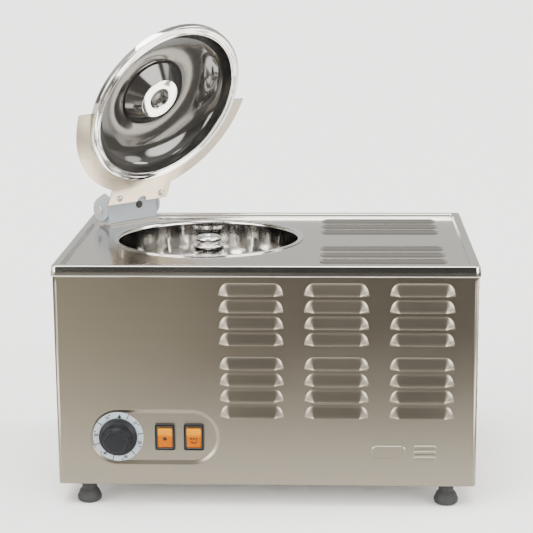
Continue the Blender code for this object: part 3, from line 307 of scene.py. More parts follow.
def steel(name, colour, roughness, grain=(1, 1, 1), smudge=0.04, turn=None):
    """Stainless sheet. The grain's stretch is small along the brushing and large across it."""
    material, tree, shader = new_material(name)
    lines = tree.noise(320, grain, detail=3, roughness=0.6, turn=turn)
    cloud = tree.noise(7, detail=4)
    darker = tuple(0.96 * c for c in colour)
    tint = tree.blend(tree.spread(lines, 0, 1), darker, colour)
    tint = tree.blend(tree.spread(cloud, 0, 0.35), tint, tuple(1.08 * c for c in colour))
    sheen = tree.spread(lines, roughness - 0.008, roughness + 0.008)
    sheen = tree.maths("ADD", sheen, tree.spread(cloud, 0, smudge))
    grooves = tree.bump(lines, 0.1, 0.000002)
    tree.fill(shader, Base_Color=tint, Roughness=sheen, Metallic=1.0, Normal=grooves)
    return material


def mirror(name, colour, roughness=0.05, metallic=1.0):
    """Polished steel: nearly a mirror, with slow waves from drawing and faint wiping marks."""
    material, tree, shader = new_material(name)
    waves = tree.noise(26, detail=1.5)
    wiping = tree.noise(160, (1, 1, 0.3), detail=3)
    tint = tree.blend(tree.spread(wiping, 0, 1), tuple(0.94 * c for c in colour), colour)
    sheen = tree.spread(wiping, roughness, roughness + 0.035)
    ripple = tree.bump(waves, 0.6, 0.00002)
    tree.fill(shader, Base_Color=tint, Roughness=sheen, Metallic=metallic, Normal=ripple)
    return material


def grained(name, colour, second, roughness, scale=900, depth=0.00004, metallic=0.0, coat=0.0, gloss=0.5):
    """Moulded, cast or painted surface with a fine grain and a slow change of colour."""
    material, tree, shader = new_material(name)
    grain = tree.noise(scale, detail=4)
    cloud = tree.noise(22, detail=3)
    mottle = tree.maths("MULTIPLY_ADD", tree.spread(grain, 0, 0.5), 1.0, tree.spread(cloud, 0, 0.5))
    tint = tree.blend(mottle, colour, second)
    sheen = tree.spread(grain, roughness - 0.06, roughness + 0.06)
    tree.fill(shader, Base_Color=tint, Roughness=sheen, Metallic=metallic, Coat_Weight=coat,
              Specular_IOR_Level=gloss, Normal=tree.bump(grain, 0.5, depth))
    return material


def lit_plastic(name):
    """Orange rocker plastic with a lamp behind it. Its colour and faint glow brighten towards its upper end:
    painted light.
    """
    material, tree, shader = new_material(name)
    place = tree.add("ShaderNodeTexCoord").outputs["Object"]
    height = tree.add("ShaderNodeSeparateXYZ", Vector=place).outputs["Z"]
    # painted light: the colour brightens from the pivot towards the rocker's upper end
    top = tree.step(height, 0.0015, 0.0065)
    cloud = tree.noise(120, detail=2)
    low = tree.blend(tree.spread(cloud, 0, 1), (0.32, 0.080, 0.0), (0.36, 0.092, 0.0))
    colour = tree.blend(top, low, (0.50, 0.19, 0.0))
    tree.fill(shader, Base_Color=colour, Emission_Color=colour, Emission_Strength=0.05,
              Roughness=tree.spread(cloud, 0.22, 0.30), Specular_IOR_Level=0.05)
    return material


def make_materials():
    return {
        "case": steel("case_steel", (0.218, 0.198, 0.158), 0.29, (0.012, 0.012, 1)),
        "tray": steel("tray_steel", (0.53, 0.51, 0.47), 0.12, (0.02, 1, 1)),
        "sheet": steel("sheet_steel", (0.52, 0.50, 0.47), 0.30, (0.02, 1, 1)),
        "collar": steel("collar_steel", (0.42, 0.365, 0.29), 0.20, (0.03, 1, 1), turn=LID),
        "zinc": steel("zinc_plate", (0.55, 0.55, 0.52), 0.42, smudge=0.12),
        "mirror": mirror("mirror_steel", (0.70, 0.69, 0.67)),
        # a darker copy of the polished steel: painted shade for most of the lid's inside
        "lid": mirror("lid_inside_painted_shade_steel", (0.110, 0.107, 0.102), 0.07, metallic=0.76),
        "screw": mirror("screw_steel", (0.62, 0.61, 0.59), 0.14),
        "copper": mirror("copper_tube", (0.72, 0.36, 0.20), 0.28),
        "bronze": grained("sintered_bronze", (0.50, 0.33, 0.15), (0.60, 0.42, 0.20), 0.42, metallic=1.0),
        "aluminium": steel("aluminium_skin", (0.66, 0.67, 0.68), 0.38),
        "cast": grained("grey_cast", (0.24, 0.27, 0.295), (0.30, 0.33, 0.355), 0.42, 700, 0.00008,
                        coat=0.15),
        "black": grained("black_plastic", (0.022, 0.023, 0.025), (0.032, 0.033, 0.035), 0.36),
        "knob": grained("knob_plastic", (0.008, 0.009, 0.010), (0.014, 0.015, 0.017), 0.40, gloss=0.12),
        "paint": grained("black_paint", (0.015, 0.015, 0.017), (0.024, 0.024, 0.026), 0.30, 300, 0.00003,
                         coat=0.3),
        "dial": grained("dial_plate_paint", (0.28, 0.33, 0.37), (0.33, 0.38, 0.42), 0.34, 500, 0.00001),
        "ink": grained("printing_ink", (0.010, 0.011, 0.012), (0.018, 0.019, 0.021), 0.5, 500, 0.00001,
                       gloss=0.1),
        "rubber": grained("foot_rubber", (0.020, 0.0205, 0.021), (0.032, 0.0325, 0.033), 0.62, 600,
                          0.00008, gloss=0.2),
        "foam": grained("insulating_foam", (0.72, 0.64, 0.42), (0.84, 0.77, 0.56), 0.9, 260, 0.0006),
        "orange": lit_plastic("orange_plastic"),
    }


MATERIALS = make_materials()


# ---- mesh tools ----
WELD = 0.000002


def finished_mesh(bm, name, flat_faces=False):
    """The mesh, smooth all over, or with flat_faces smooth only where its faces were made so."""
    bmesh.ops.remove_doubles(bm, verts=bm.verts, dist=WELD)
    bmesh.ops.recalc_face_normals(bm, faces=bm.faces)
    if not flat_faces:
        for face in bm.faces:
            face.smooth = True
    mesh = bpy.data.meshes.new(name)
    bm.to_mesh(mesh)
    bm.free()
    return mesh


def is_skew(at):
    """Whether a frame is turned well away from the world's axes."""
    return any(0.2 < abs(at[row][column]) < 0.8 for row in range(3) for column in range(3))


def add(name, mesh, material, body, at=CASE, replaces=(), sharp=38):
    """A piece in its own frame `at`, that rides on a body and may stand for CAD nodes."""
    if is_skew(at):
        mesh.transform(at)
        at = Matrix.Identity(4)
    piece = placed(name, mesh)
    piece.matrix_world = at
    mesh.materials.append(MATERIALS[material])
    flat = [face.index for face in mesh.polygons if not face.use_smooth]
    mesh.set_sharp_from_angle(angle=math.radians(sharp))
    for index in flat:
        mesh.polygons[index].use_smooth = False
    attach(piece, body)
    if replaces:
        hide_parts(*replaces)
    return piece


def bevel(piece, width, segments=3, angle=40):
    step = piece.modifiers.new("rounding", "BEVEL")
    step.width = width
    step.segments = segments
    step.limit_method = "ANGLE"
    step.angle_limit = math.radians(angle)
    step.harden_normals = True
    return piece


def rounded_path(points, closed=False, steps=5):
    """A run of (x, y, radius) corners with each corner replaced by an arc."""
    made = []
    count = len(points)
    for i, (x, y, radius) in enumerate(points):
        corner = Vector((x, y))
        if radius == 0 or (not closed and i in (0, count - 1)):
            made.append((x, y))
            continue
        before = Vector(points[i - 1][:2]) - corner
        after = Vector(points[(i + 1) % count][:2]) - corner
        half = before.angle(after) / 2
        reach = min(radius / math.tan(half), before.length * 0.49, after.length * 0.49)
        radius = reach * math.tan(half)
        centre = corner + (before.normalized() + after.normalized()).normalized() * (radius / math.sin(half))
        start = corner + before.normalized() * reach - centre
        end = corner + after.normalized() * reach - centre
        sweep = start.angle_signed(end)
        for k in range(steps + 1):
            turn = Matrix.Rotation(-sweep * k / steps, 2)
            point = centre + turn @ start
            made.append((point.x, point.y))
    return made


def arc(centre, radius, start, end, steps):
    angles = [math.radians(start + (end - start) * i / steps) for i in range(steps + 1)]
    return [(centre[0] + radius * math.cos(a), centre[1] + radius * math.sin(a)) for a in angles]


def lathe(profile, segments=96, closed=True):
    """A (radius, z) profile turned about z."""
    bm = bmesh.new()
    rings = []
    turns = [math.tau * i / segments for i in range(segments)]
    for radius, z in profile:
        angles = turns if radius > 1e-7 else turns[:1]
        rings.append([bm.verts.new((radius * math.cos(a), radius * math.sin(a), z)) for a in angles])
    last = len(rings) if closed else len(rings) - 1
    for k in range(last):
        ring, other = rings[k], rings[(k + 1) % len(rings)]
        if len(ring) == 1 and len(other) == 1:
            continue
        for i in range(segments):
            j = (i + 1) % segments
            corners = [loop[k % len(loop)] for loop, k in ((ring, i), (ring, j), (other, j), (other, i))]
            bm.faces.new(list(dict.fromkeys(corners)))
    return finished_mesh(bm, "lathe")


def prism(outline, low, high):
    bm = bmesh.new()
    bottom = [bm.verts.new((x, y, low)) for x, y in outline]
    top = [bm.verts.new((x, y, high)) for x, y in outline]
    bm.faces.new(bottom)
    bm.faces.new(top)
    for i in range(len(outline)):
        j = (i + 1) % len(outline)
        bm.faces.new((bottom[i], bottom[j], top[j], top[i]))
    return finished_mesh(bm, "prism")


def merged(meshes, weld=False):
    """Several meshes as one. With weld, the corners that they share become one."""
    bm = bmesh.new()
    for mesh in meshes:
        bm.from_mesh(mesh)
    if weld:
        bmesh.ops.remove_doubles(bm, verts=bm.verts, dist=WELD)
    mesh = bpy.data.meshes.new("merged")
    bm.to_mesh(mesh)
    bm.free()
    return mesh


def moved(mesh, matrix):
    mesh.transform(matrix)
    return mesh


FACING_FRONT = Matrix.Rotation(math.radians(90), 4, "X")
FACING_BACK = Matrix.Rotation(math.radians(-90), 4, "X")


def on_dial(turn):
    return CASE @ Matrix.Translation((DIAL_X, 0, CONTROL_Z)) @ turn


def on_front(node):
    """A frame in the middle of a node's front side."""
    low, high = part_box(node)
    return Matrix.Translation(((low.x + high.x) / 2, low.y, (low.z + high.z) / 2))


# ---- pressed sheet: flat stretches filled round pressed patches ----
def inside(point, loop):
    """Whether a flat point lies inside a closed loop."""
    x, y = point
    crossings = 0
    for (x0, y0), (x1, y1) in zip(loop, loop[1:] + loop[:1]):
        if (y0 > y) != (y1 > y) and x < x0 + (y - y0) * (x1 - x0) / (y1 - y0):
            crossings += 1
    return crossings % 2 == 1


def fill_flat(bm, place, outer, holes):
    """Fills a flat outline round its holes. place(u, v, out) carries a point of the sheet into space."""
    points, edges = [], []
    for loop in [outer] + holes:
        first = len(points)
        points += [Vector(p) for p in loop]
        edges += [(first + i, first + (i + 1) % len(loop)) for i in range(len(loop))]
    flat, _, faces, _, _, _ = delaunay_2d_cdt(points, edges, [], 1, 1e-7)
    verts = [bm.verts.new(place(p.x, p.y, 0)) for p in flat]
    for face in faces:
        middle = sum((flat[i] for i in face), Vector((0, 0))) / len(face)
        if not any(inside(middle, hole) for hole in holes):
            bm.faces.new([verts[i] for i in face])


def rings_to_faces(bm, rings, closed, cap=False):
    made = [[bm.verts.new(p) for p in ring] for ring in rings]
    for ring, other in zip(made, made[1:]):
        count = len(ring)
        for i in range(count if closed else count - 1):
            j = (i + 1) % count
            apart = (ring[i].co - ring[j].co).length > 1e-7
            corners = (ring[i], ring[j], other[j], other[i]) if apart else (ring[i], other[j], other[i])
            bm.faces.new(corners).smooth = True
    if cap:
        bm.faces.new(made[0])


# how far out a louvre stands (as a share of its reach) from its lip's middle (0) to its edge (1)
LOUVRE_SECTION = (
    (0.0, 1.0), (0.035, 0.985), (0.07, 0.955), (0.25, 0.805), (0.5, 0.60), (0.70, 0.435), (0.80, 0.345),
    (0.87, 0.27), (0.92, 0.195), (0.955, 0.115), (0.985, 0.045), (1.01, 0.010), (1.03, 0.0), (1.06, 0.0),
)
LIP_FLARE, LIP_HEIGHT = 0.0005, 0.0012


def louvre_patch(bm, place, left, lip, width, height, reach, end):
    """A lanced louvre with a straight lip at v = lip and round ends of length `end`. Returns its outline."""
    spine_left, spine_right = left + end, left + width - end
    boundary = [(spine_left + end * math.cos(a), lip + height * math.sin(a), spine_left)
                for a in [math.radians(180 - 9 * i) for i in range(11)]]
    boundary += [(spine_right + end * math.cos(a), lip + height * math.sin(a), spine_right)
                 for a in [math.radians(90 - 9 * i) for i in range(11)]]
    rings = []
    for share, part in LOUVRE_SECTION:
        ring = []
        for u, v, spine in boundary:
            above = (v - lip) * share
            flare = LIP_FLARE * max(1 - above / LIP_HEIGHT, 0) ** 2
            out = (reach - LIP_FLARE) * part + flare * (part > 0)
            ring.append(place(spine + (u - spine) * share, lip + above, out))
        rings.append(ring)
    rings_to_faces(bm, rings, False)
    last = LOUVRE_SECTION[-1][0]
    return [(spine + (u - spine) * last, lip + (v - lip) * last) for u, v, spine in boundary]


def rounded_rectangle(x0, x1, y0, y1, radius, steps=14):
    corners = (((x1 - radius, y0 + radius), -90), ((x1 - radius, y1 - radius), 0),
               ((x0 + radius, y1 - radius), 90), ((x0 + radius, y0 + radius), 180))
    return [point for centre, start in corners for point in arc(centre, radius, start, start + 90, steps)]


def pressed_patch(bm, place, box, radius, profile, steps=14):
    """A pressed pad or recess. Its profile is (distance outside the box, height) from inside out."""
    x0, x1, y0, y1 = box

    def outline(offset):
        rounding = max(radius + offset, 0.0002)
        return rounded_rectangle(x0 - offset, x1 + offset, y0 - offset, y1 + offset, rounding, steps)

    rings = [[place(u, v, lift) for u, v in outline(offset)] for offset, lift in profile]
    rings_to_faces(bm, rings, True, cap=True)
    return outline(profile[-1][0])


def thickness(piece, amount):
    step = piece.modifiers.new("thickness", "SOLIDIFY")
    step.thickness = amount
    step.offset = -1
    step.use_even_offset = False
    return piece


# ---- case ----
def louvre_places(first):
    return [(first + column * LOUVRE_PITCH_X, bank + row * LOUVRE_PITCH_Z)
            for bank in LOUVRE_BANKS for row in range(4) for column in range(3)]


def open_outline(inset, back):
    """The case's left side, front and right side in plan, moved inwards by an inset."""
    left = arc((CORNER - SIDE, CORNER), CORNER - inset, 180, 270, 8)
    right = arc((SIDE - CORNER, CORNER), CORNER - inset, 270, 360, 8)
    return [(inset - SIDE, back)] + left + right + [(SIDE - inset, back)]


def case_wrap():
    """Left side, front and right side in one sheet, with louvres, control recess and blank embossing."""
    bm = bmesh.new()
    bottom, top = FOOT_HEIGHT, wrap_high.z
    floor = bottom + 0.0015
    back = wrap_high.y - CASE_Y

    def front(u, v, out):
        return Vector((u, -out, v))

    def right(u, v, out):
        return Vector((SIDE + out, u, v))

    def left(u, v, out):
        return Vector((-SIDE - out, u, v))

    louvre = (LOUVRE_WIDTH, LOUVRE_HEIGHT, LOUVRE_REACH, LOUVRE_END)
    holes = [louvre_patch(bm, front, x, z, *louvre) for x, z in louvre_places(LOUVRE_FIRST_X)]
    recess = (DIAL_X - RECESS_RADIUS, RECESS_END_X, CONTROL_Z - RECESS_RADIUS, CONTROL_Z + RECESS_RADIUS)
    shoulder = rounded_path([
        (-0.0055, -RECESS_DEPTH, 0), (-0.0038, -RECESS_DEPTH, 0.0030), (0.0002, 0, 0.0030), (0.0016, 0, 0),
    ], steps=5)
    holes.append(pressed_patch(bm, front, recess, RECESS_RADIUS, shoulder, 20))
    raised = rounded_path([
        (-0.0016, EMBOSSING, 0), (-0.0008, EMBOSSING, 0.0008), (0.0008, 0, 0.0010), (0.0016, 0, 0),
    ], steps=4)
    holes.append(pressed_patch(bm, front, PILL, PILL_RADIUS, raised, 8))
    for row in range(3):
        low = BAR_LOW + BAR_PITCH * row
        bar = (*BAR_SPAN, low, low + BAR_HEIGHT)
        holes.append(pressed_patch(bm, front, bar, BAR_HEIGHT / 2, raised, 6))
    face = [(CORNER - SIDE, floor), (SIDE - CORNER, floor), (SIDE - CORNER, top), (CORNER - SIDE, top)]
    fill_flat(bm, front, face, holes)
    holes = [louvre_patch(bm, right, y, z, *louvre) for y, z in louvre_places(LOUVRE_FIRST_Y)]
    side = [(CORNER, floor), (back, floor), (back, top), (CORNER, top)]
    fill_flat(bm, right, side, holes)
    fill_flat(bm, left, side, [])
    for centre, start in (((CORNER - SIDE, CORNER), 180), ((SIDE - CORNER, CORNER), 270)):
        rings_to_faces(bm, [[Vector((x, y, z)) for x, y in arc(centre, CORNER, start, start + 90, 8)]
                            for z in (floor, top)], False)
    hem = rounded_path([(0, bottom + 0.0015, 0), (0, bottom, 0.0012), (0.0022, bottom, 0)], steps=4)
    hem_rings = [[Vector((x, y, z)) for x, y in open_outline(inset, back)] for inset, z in hem]
    rings_to_faces(bm, hem_rings, False)
    mesh = finished_mesh(bm, "case_wrap_sheet", flat_faces=True)
    wrap = add("case_wrap_sheet", mesh, "case", "machine", replaces=["case_wrap"], sharp=50)
    face_outwards(mesh, Vector((0, back / 2, (bottom + top) / 2)))
    return thickness(wrap, SHEET)


def face_outwards(mesh, middle):
    """Turns every face of an open sheet away from a middle point, judged by its largest face."""
    bm = bmesh.new()
    bm.from_mesh(mesh)
    largest = max(bm.faces, key=lambda face: face.calc_area())
    if largest.normal.dot(largest.calc_center_median() - middle) < 0:
        bmesh.ops.reverse_faces(bm, faces=bm.faces)
    bm.to_mesh(mesh)
    bm.free()


def tray_sheet():
    """The pressed top: a skirted rim round a sunk deck, with louvres and the bowl's hole."""
    bm = bmesh.new()
    low_x, high_x = -SIDE - TRAY_OVERHANG, SIDE + TRAY_OVERHANG
    low_y, high_y = -TRAY_OVERHANG, CASE_DEPTH + TRAY_OVERHANG
    skirt = tray_low.z

    def outline(inset):
        radius = max(CORNER + TRAY_OVERHANG - inset, 0.0020)
        return rounded_rectangle(low_x + inset, high_x - inset, low_y + inset, high_y - inset, radius, 8)

    bow = [(SKIRT_BOW * (k / 6) ** 2, skirt + (RIM_TOP - 0.0022 - skirt) * k / 6, 0) for k in range(6)]
    profile = rounded_path(bow + [
        (SKIRT_BOW, RIM_TOP, 0.0018), (RIM_BAND, RIM_TOP, 0.0020),
        (RIM_BAND + RIM_SLOPE, TRAY_TOP, 0.0020), (RIM_BAND + RIM_FOOT, TRAY_TOP, 0),
    ], steps=5)
    rings_to_faces(bm, [[Vector((x, y, z)) for x, y in outline(inset)] for inset, z in profile], True)

    def deck(u, v, out):
        return Vector((u, v, TRAY_TOP + out))

    width = TOP_LOUVRE_X[1] - TOP_LOUVRE_X[0]
    holes = []
    for start in TOP_LOUVRE_FRONTS:
        for row in range(3):
            lip = start + TOP_LOUVRE_PITCH * row + TOP_LOUVRE_LENGTH

            def rearward(u, v, out, lip=lip):
                return Vector((u, 2 * lip - v, TRAY_TOP + out))

            loop = louvre_patch(bm, rearward, TOP_LOUVRE_X[0], lip, width, TOP_LOUVRE_LENGTH,
                                TOP_LOUVRE_REACH, TOP_LOUVRE_END)
            holes.append([(u, 2 * lip - v) for u, v in loop])
    hole_radius = (bowl_high.x - bowl_low.x) / 2 - HOLE_MARGIN
    centre = (BOWL.x - CASE_X, BOWL.y - CASE_Y)
    holes.append(arc(centre, hole_radius, 0, 357, 119))
    fill_flat(bm, deck, outline(RIM_BAND + RIM_FOOT), holes)
    mesh = finished_mesh(bm, "top_tray_sheet", flat_faces=True)
    tray = add("top_tray_sheet", mesh, "tray", "machine", replaces=["top_tray"], sharp=50)
    face_outwards(mesh, Vector((0, CASE_DEPTH / 2, 0)))
    return thickness(tray, SHEET)


# ---- bowl and paddle ----
def bowl_shell():
    """The drawn bowl, with a rolled lip that beds on the tray."""
    top = bowl_high.z
    outer = (bowl_high.x - bowl_low.x) / 2
    radius, floor, wall = outer - 0.0082, bowl_low.z + 0.001, 0.001
    tube = 0.0155
    inner = rounded_path([
        (outer, top - wall, 0), (outer, top, 0.0004), (radius, top, 0.0060), (radius, floor, 0.0260),
        (tube, floor, 0),
    ], steps=12)
    outside = rounded_path([
        (tube, floor - wall, 0), (radius + wall, floor - wall, 0.0270), (radius + wall, top - wall, 0.0050),
        (outer, top - wall, 0),
    ], steps=12)
    mesh = lathe(inner + outside[:-1], 160)
    add("bowl_shell", mesh, "mirror", "machine", BOWL_AXIS, replaces=["bowl"], sharp=60)


def paddle_set():
    """The paddle's collared sleeve with its two blades, and the turned cap that holds it down."""
    paddle_low, paddle_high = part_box("paddle")
    cap_low, cap_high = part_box("paddle_cap")
    hub = (cap_high.x - cap_low.x) / 2
    top = cap_high.z
    dish = top - 0.0012
    cap = rounded_path([
        (0, cap_low.z, 0), (hub - 0.0003, cap_low.z, 0.0006), (hub, top, 0.0042), (0.0065, top, 0.0010),
        (0.0055, dish, 0.0008), (0, dish, 0),
    ], steps=7)
    add("paddle_cap_turned", lathe(cap, 72, closed=False), "mirror", "paddle", BOWL_AXIS, ["paddle_cap"],
        sharp=50)
    base, shaft, ring = paddle_low.z + 0.007, 0.0078, 0.0200
    ring_top = paddle_high.z - 0.0031
    sleeve = rounded_path([
        (shaft, base, 0), (ring, base, 0.0010), (ring, base + 0.012, 0.0030), (hub, base + 0.016, 0.0020),
        (hub, ring_top - 0.015, 0.0010), (ring, ring_top - 0.011, 0.0015), (ring, ring_top, 0.0012),
        (hub, ring_top, 0.0006), (hub, paddle_high.z, 0.0008), (shaft, paddle_high.z, 0),
    ], steps=5)
    reach = (paddle_high.x - paddle_low.x) / 2
    blades = [moved(blade(paddle_low.z, reach), Matrix.Rotation(turn, 4, "Z")) for turn in (0, math.pi)]
    add("paddle_polished", merged([lathe(sleeve, 72)] + blades), "mirror", "paddle", BOWL_AXIS, ["paddle"],
        sharp=50)


def blade(low, reach):
    """One swept scraper blade, on the +x side."""
    fillet, root, heel, half_thick = 0.0260, 0.0150, 0.0300, 0.0015
    high, shoulder = low + 0.0388, low + 0.0208
    outline = [(root, low + 0.0080), (heel, low)]
    outline += arc((reach - fillet, low + fillet), fillet, -90, 0, 12)
    outline += [(reach, high), (reach - 0.0120, high), (reach - 0.0200, shoulder), (heel, low + 0.0128),
                (root, shoulder)]
    return moved(prism(outline, -half_thick, half_thick), FACING_FRONT)


# ---- controls ----
def timer_knob():
    """The skirted knob, dished in front, with a ridge that points at the dial."""
    low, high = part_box("timer_knob")
    radius = (high.x - low.x) / 2
    back, front = high.y - CASE_Y, low.y - CASE_Y
    dish = front + 0.0008
    profile = rounded_path([
        (0.0033, back, 0), (radius, back, 0.0006), (radius, -0.0026, 0.0012), (0.0180, -0.0052, 0.0020),
        (0.0172, -0.0085, 0.0015), (0.0163, -0.0170, 0.0015), (0.0143, -0.0196, 0.0010),
        (0.0139, front, 0.0012), (0.0125, front, 0.0006), (0.0118, dish, 0.0006), (0, dish, 0),
    ], steps=5)
    knob = lathe(profile, 96, closed=False)
    at = on_dial(FACING_BACK)
    add("timer_knob_moulded", knob, "knob", "timer_knob", at, ["timer_knob"], sharp=50)
    ridge = prism(rounded_rectangle(-0.0007, 0.0007, 0.0178, radius - 0.0010, 0.0006, 4), 0.0020, 0.0041)
    add("timer_pointer", ridge, "knob", "timer_knob", on_dial(FACING_FRONT))


def flat_text(text, size, thick):
    """Plain figures as a thin solid mesh, centred on the origin in x and y."""
    curve = bpy.data.curves.new("figures", "FONT")
    curve.body = text
    curve.size = size
    curve.extrude = thick / 2
    curve.align_x = "CENTER"
    curve.align_y = "CENTER"
    curve.offset = 0.00016
    holder = placed("figures", curve)
    depsgraph = bpy.context.evaluated_depsgraph_get()
    mesh = bpy.data.meshes.new_from_object(holder.evaluated_get(depsgraph))
    bpy.data.objects.remove(holder, do_unlink=True)
    mesh.materials.clear()
    return mesh


def around(radius, angle, z):
    """A point at a clockwise angle from the dial's top."""
    return radius * math.sin(angle), radius * math.cos(angle), z


def dial():
    """The dial's plate with its printed minutes, ticks and index triangle."""
    low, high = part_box("dial_plate")
    front, back = low.y - CASE_Y, high.y - CASE_Y
    plate = rounded_path([(0.0042, back, 0), (DIAL_RADIUS, back, 0.0002), (DIAL_RADIUS, front, 0.0004),
                          (0.0042, front, 0)], steps=4)
    at = on_dial(FACING_BACK)
    add("dial_disc", lathe(plate, 128), "dial", "machine", at, ["dial_plate"])
    print_low, print_top = -front - 0.0001, -front + 0.00012
    first_tick, first_figure, pitch, dot_turn, index_turn = 26, 50, 56, 9, 5
    figure_radius, dot_radius = 0.0272, 0.0292
    marks = []
    for step in range(6):
        tick = [(-0.0005, 0.0243), (0.0005, 0.0243), (0.0005, 0.0307), (-0.0005, 0.0307)]
        tick_turn = -math.radians(first_tick + pitch * step)
        marks.append(moved(prism(tick, print_low, print_top), Matrix.Rotation(tick_turn, 4, "Z")))
        angle = math.radians(first_figure + pitch * step)
        place = Matrix.Translation(around(figure_radius, angle, -front))
        marks.append(moved(flat_text(str(10 * (step + 1)), 0.0048, 0.00024), place))
        spot = Matrix.Translation(around(dot_radius, angle + math.radians(dot_turn), 0))
        marks.append(moved(prism(arc((0, 0), 0.0010, 0, 330, 11), print_low, print_top), spot))
    index = prism([(-0.0028, 0.0236), (0.0028, 0.0236), (0, 0.0285)], print_low, print_top)
    marks.append(moved(index, Matrix.Rotation(-math.radians(index_turn), 4, "Z")))
    add("dial_print", merged(marks), "ink", "machine", on_dial(FACING_FRONT))


def switch_set():
    """Both switches: bezel, rocker at the tilt it has at rest, and the mark on the rocker."""
    sets = (("cooling_switch", "cooling_rocker", snow_mark), ("paddle_switch", "paddle_rocker", bowl_mark))
    for switch, rocker, symbol in sets:
        bezel_frame(switch)
        joint = JOINTS[f"{rocker}_tilt"]
        tilt = sum(joint["range_deg"]) / 2
        at = Matrix.Translation(joint["pos_m"]) @ Matrix.Rotation(-math.radians(tilt), 4, "X")
        piece = add(f"{rocker}_moulded", rocker_shape(), "orange", rocker, at, [rocker])
        bevel(piece, 0.0018, 5, 30)
        add(f"{rocker}_symbol", symbol(), "ink", rocker, at)


def bezel_frame(switch):
    """The switch's rounded rim, open round its rocker."""
    low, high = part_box(switch)
    half_x, half_z = (high.x - low.x) / 2, (high.z - low.z) / 2
    bm = bmesh.new()
    profile = rounded_path([
        (-0.0001, 0.0028, 0), (0, 0, 0.0006), (0.0022, 0, 0.0005), (0.0028, 0.0010, 0.0003),
        (0.0026, 0.0090, 0),
    ], steps=4)
    rings = []
    for inset, depth in profile:
        outline = rounded_rectangle(inset - half_x, half_x - inset, inset - half_z, half_z - inset,
                                    max(0.0022 - inset * 0.4, 0.0008), 5)
        rings.append([Vector((u, depth, v)) for u, v in outline])
    rings_to_faces(bm, rings, True)
    add(f"{switch}_bezel", finished_mesh(bm, "bezel"), "black", "machine", on_front(switch))


def rocker_shape():
    """A rocker whose face falls away gently above and below its pivot."""
    edge, crest, waist, back = -0.0084, -0.0079, -0.002, 0.0036
    high, inner = ROCKER_HALF_Z, ROCKER_HALF_Z - 0.0008
    outline = [(-high, edge), (-0.0030, crest), (0.0040, crest), (high, edge), (inner, waist),
               (0.0060, back), (-0.0060, back), (-inner, waist)]
    side = prism([(y, z) for z, y in outline], -ROCKER_HALF_X, ROCKER_HALF_X)
    side.transform(Matrix(((0, 0, 1, 0), (1, 0, 0, 0), (0, 1, 0, 0), (0, 0, 0, 1))))
    return side


def raised_on_rocker(mesh, z):
    return moved(mesh, Matrix.Translation((0, -0.0081, z)) @ FACING_FRONT)


def printed(outline):
    return prism(outline, -0.0003, 0.0003)


def snow_mark():
    """Three crossed bars."""
    bar = rounded_rectangle(-0.0027, 0.0027, -0.0005, 0.0005, 0.0003, 2)
    turns = [Matrix.Rotation(math.radians(60 * k + 30), 4, "Z") for k in range(3)]
    return raised_on_rocker(merged([moved(printed(bar), turn) for turn in turns]), -0.0005)


def bowl_mark():
    """A bowl's curve under three dots."""
    middle = (0, -0.0005)
    marks = [printed(arc(middle, 0.0042, 205, 335, 12) + arc(middle, 0.0032, 335, 205, 12))]
    for x in (-0.0036, 0, 0.0036):
        marks.append(printed(rounded_rectangle(x - 0.0013, x + 0.0013, 0.0008, 0.0021, 0.0004, 2)))
    return raised_on_rocker(merged(marks), -0.0018)


# ---- lid and hinge ----
def lid_profile():
    """The dome lid's inside section, from its rim to the middle."""
    run = rounded_path([
        (LID_RADIUS, LID_RIM, 0), (LID_RADIUS, 0.0, 0.0018), (0.1120, 0.0, 0.0010), (0.1110, 0.0010, 0.0006),
        (0.1082, 0.0010, 0.0006), (0.1074, 0.0002, 0.0008), (0.1058, 0.0004, 0.0008),
        (0.1052, 0.0045, 0.0010),
    ], steps=5)
    foot_r, foot_z, top_r, top_z = 0.1050, 0.0060, 0.0560, 0.0375
    for i in range(15):
        a = math.radians(90) * i / 14
        run.append((top_r + (foot_r - top_r) * math.cos(a), foot_z + (top_z - foot_z) * math.sin(a)))
    run += rounded_path([
        (0.0545, top_z, 0), (0.0480, 0.0370, 0.0030), (0.0460, 0.0330, 0.0020), (0.0280, 0.0186, 0.0015),
        (0.0150, 0.0184, 0.0020), (0.0115, 0.0225, 0.0040), (0, 0.0250, 0),
    ], steps=6)
    return run


def lid_dome():
    """The spun dome. Most of its inside, apart from its rim and the ring in its middle, takes a darker copy
    of the polished steel: painted shade.
    """
    inside_run = lid_profile()
    wall = 0.0010
    outside = []
    for before, point, after in zip(inside_run[8:], inside_run[9:], inside_run[10:]):
        along = (Vector(after) - Vector(before)).normalized()
        normal = Vector((-along.y, along.x))
        normal = normal if normal.y > 0 else -normal
        shifted = Vector(point) + normal * wall
        outside.append((max(shifted.x, 0.0), shifted.y))
    outside.append((0, inside_run[-1][1] + wall))
    rim = [(LID_RADIUS - wall, LID_RIM), (LID_RADIUS - wall, 0.0012)]
    profile = inside_run + outside[::-1] + rim[::-1]
    mesh = lathe(profile, 192)
    # inside faces away from the rim and the middle ring take the darker copy: painted shade
    for face in mesh.polygons:
        reach = Vector(face.center[:2]).length
        painted_shade = reach < RING_INNER or RING_OUTER < reach < LID_MOUTH
        face.material_index = int(face.normal.z < 0 and painted_shade)
    add("lid_dome_spun", mesh, "mirror", "lid", LID, ["lid_dome"], sharp=60)
    mesh.materials.append(MATERIALS["lid"])


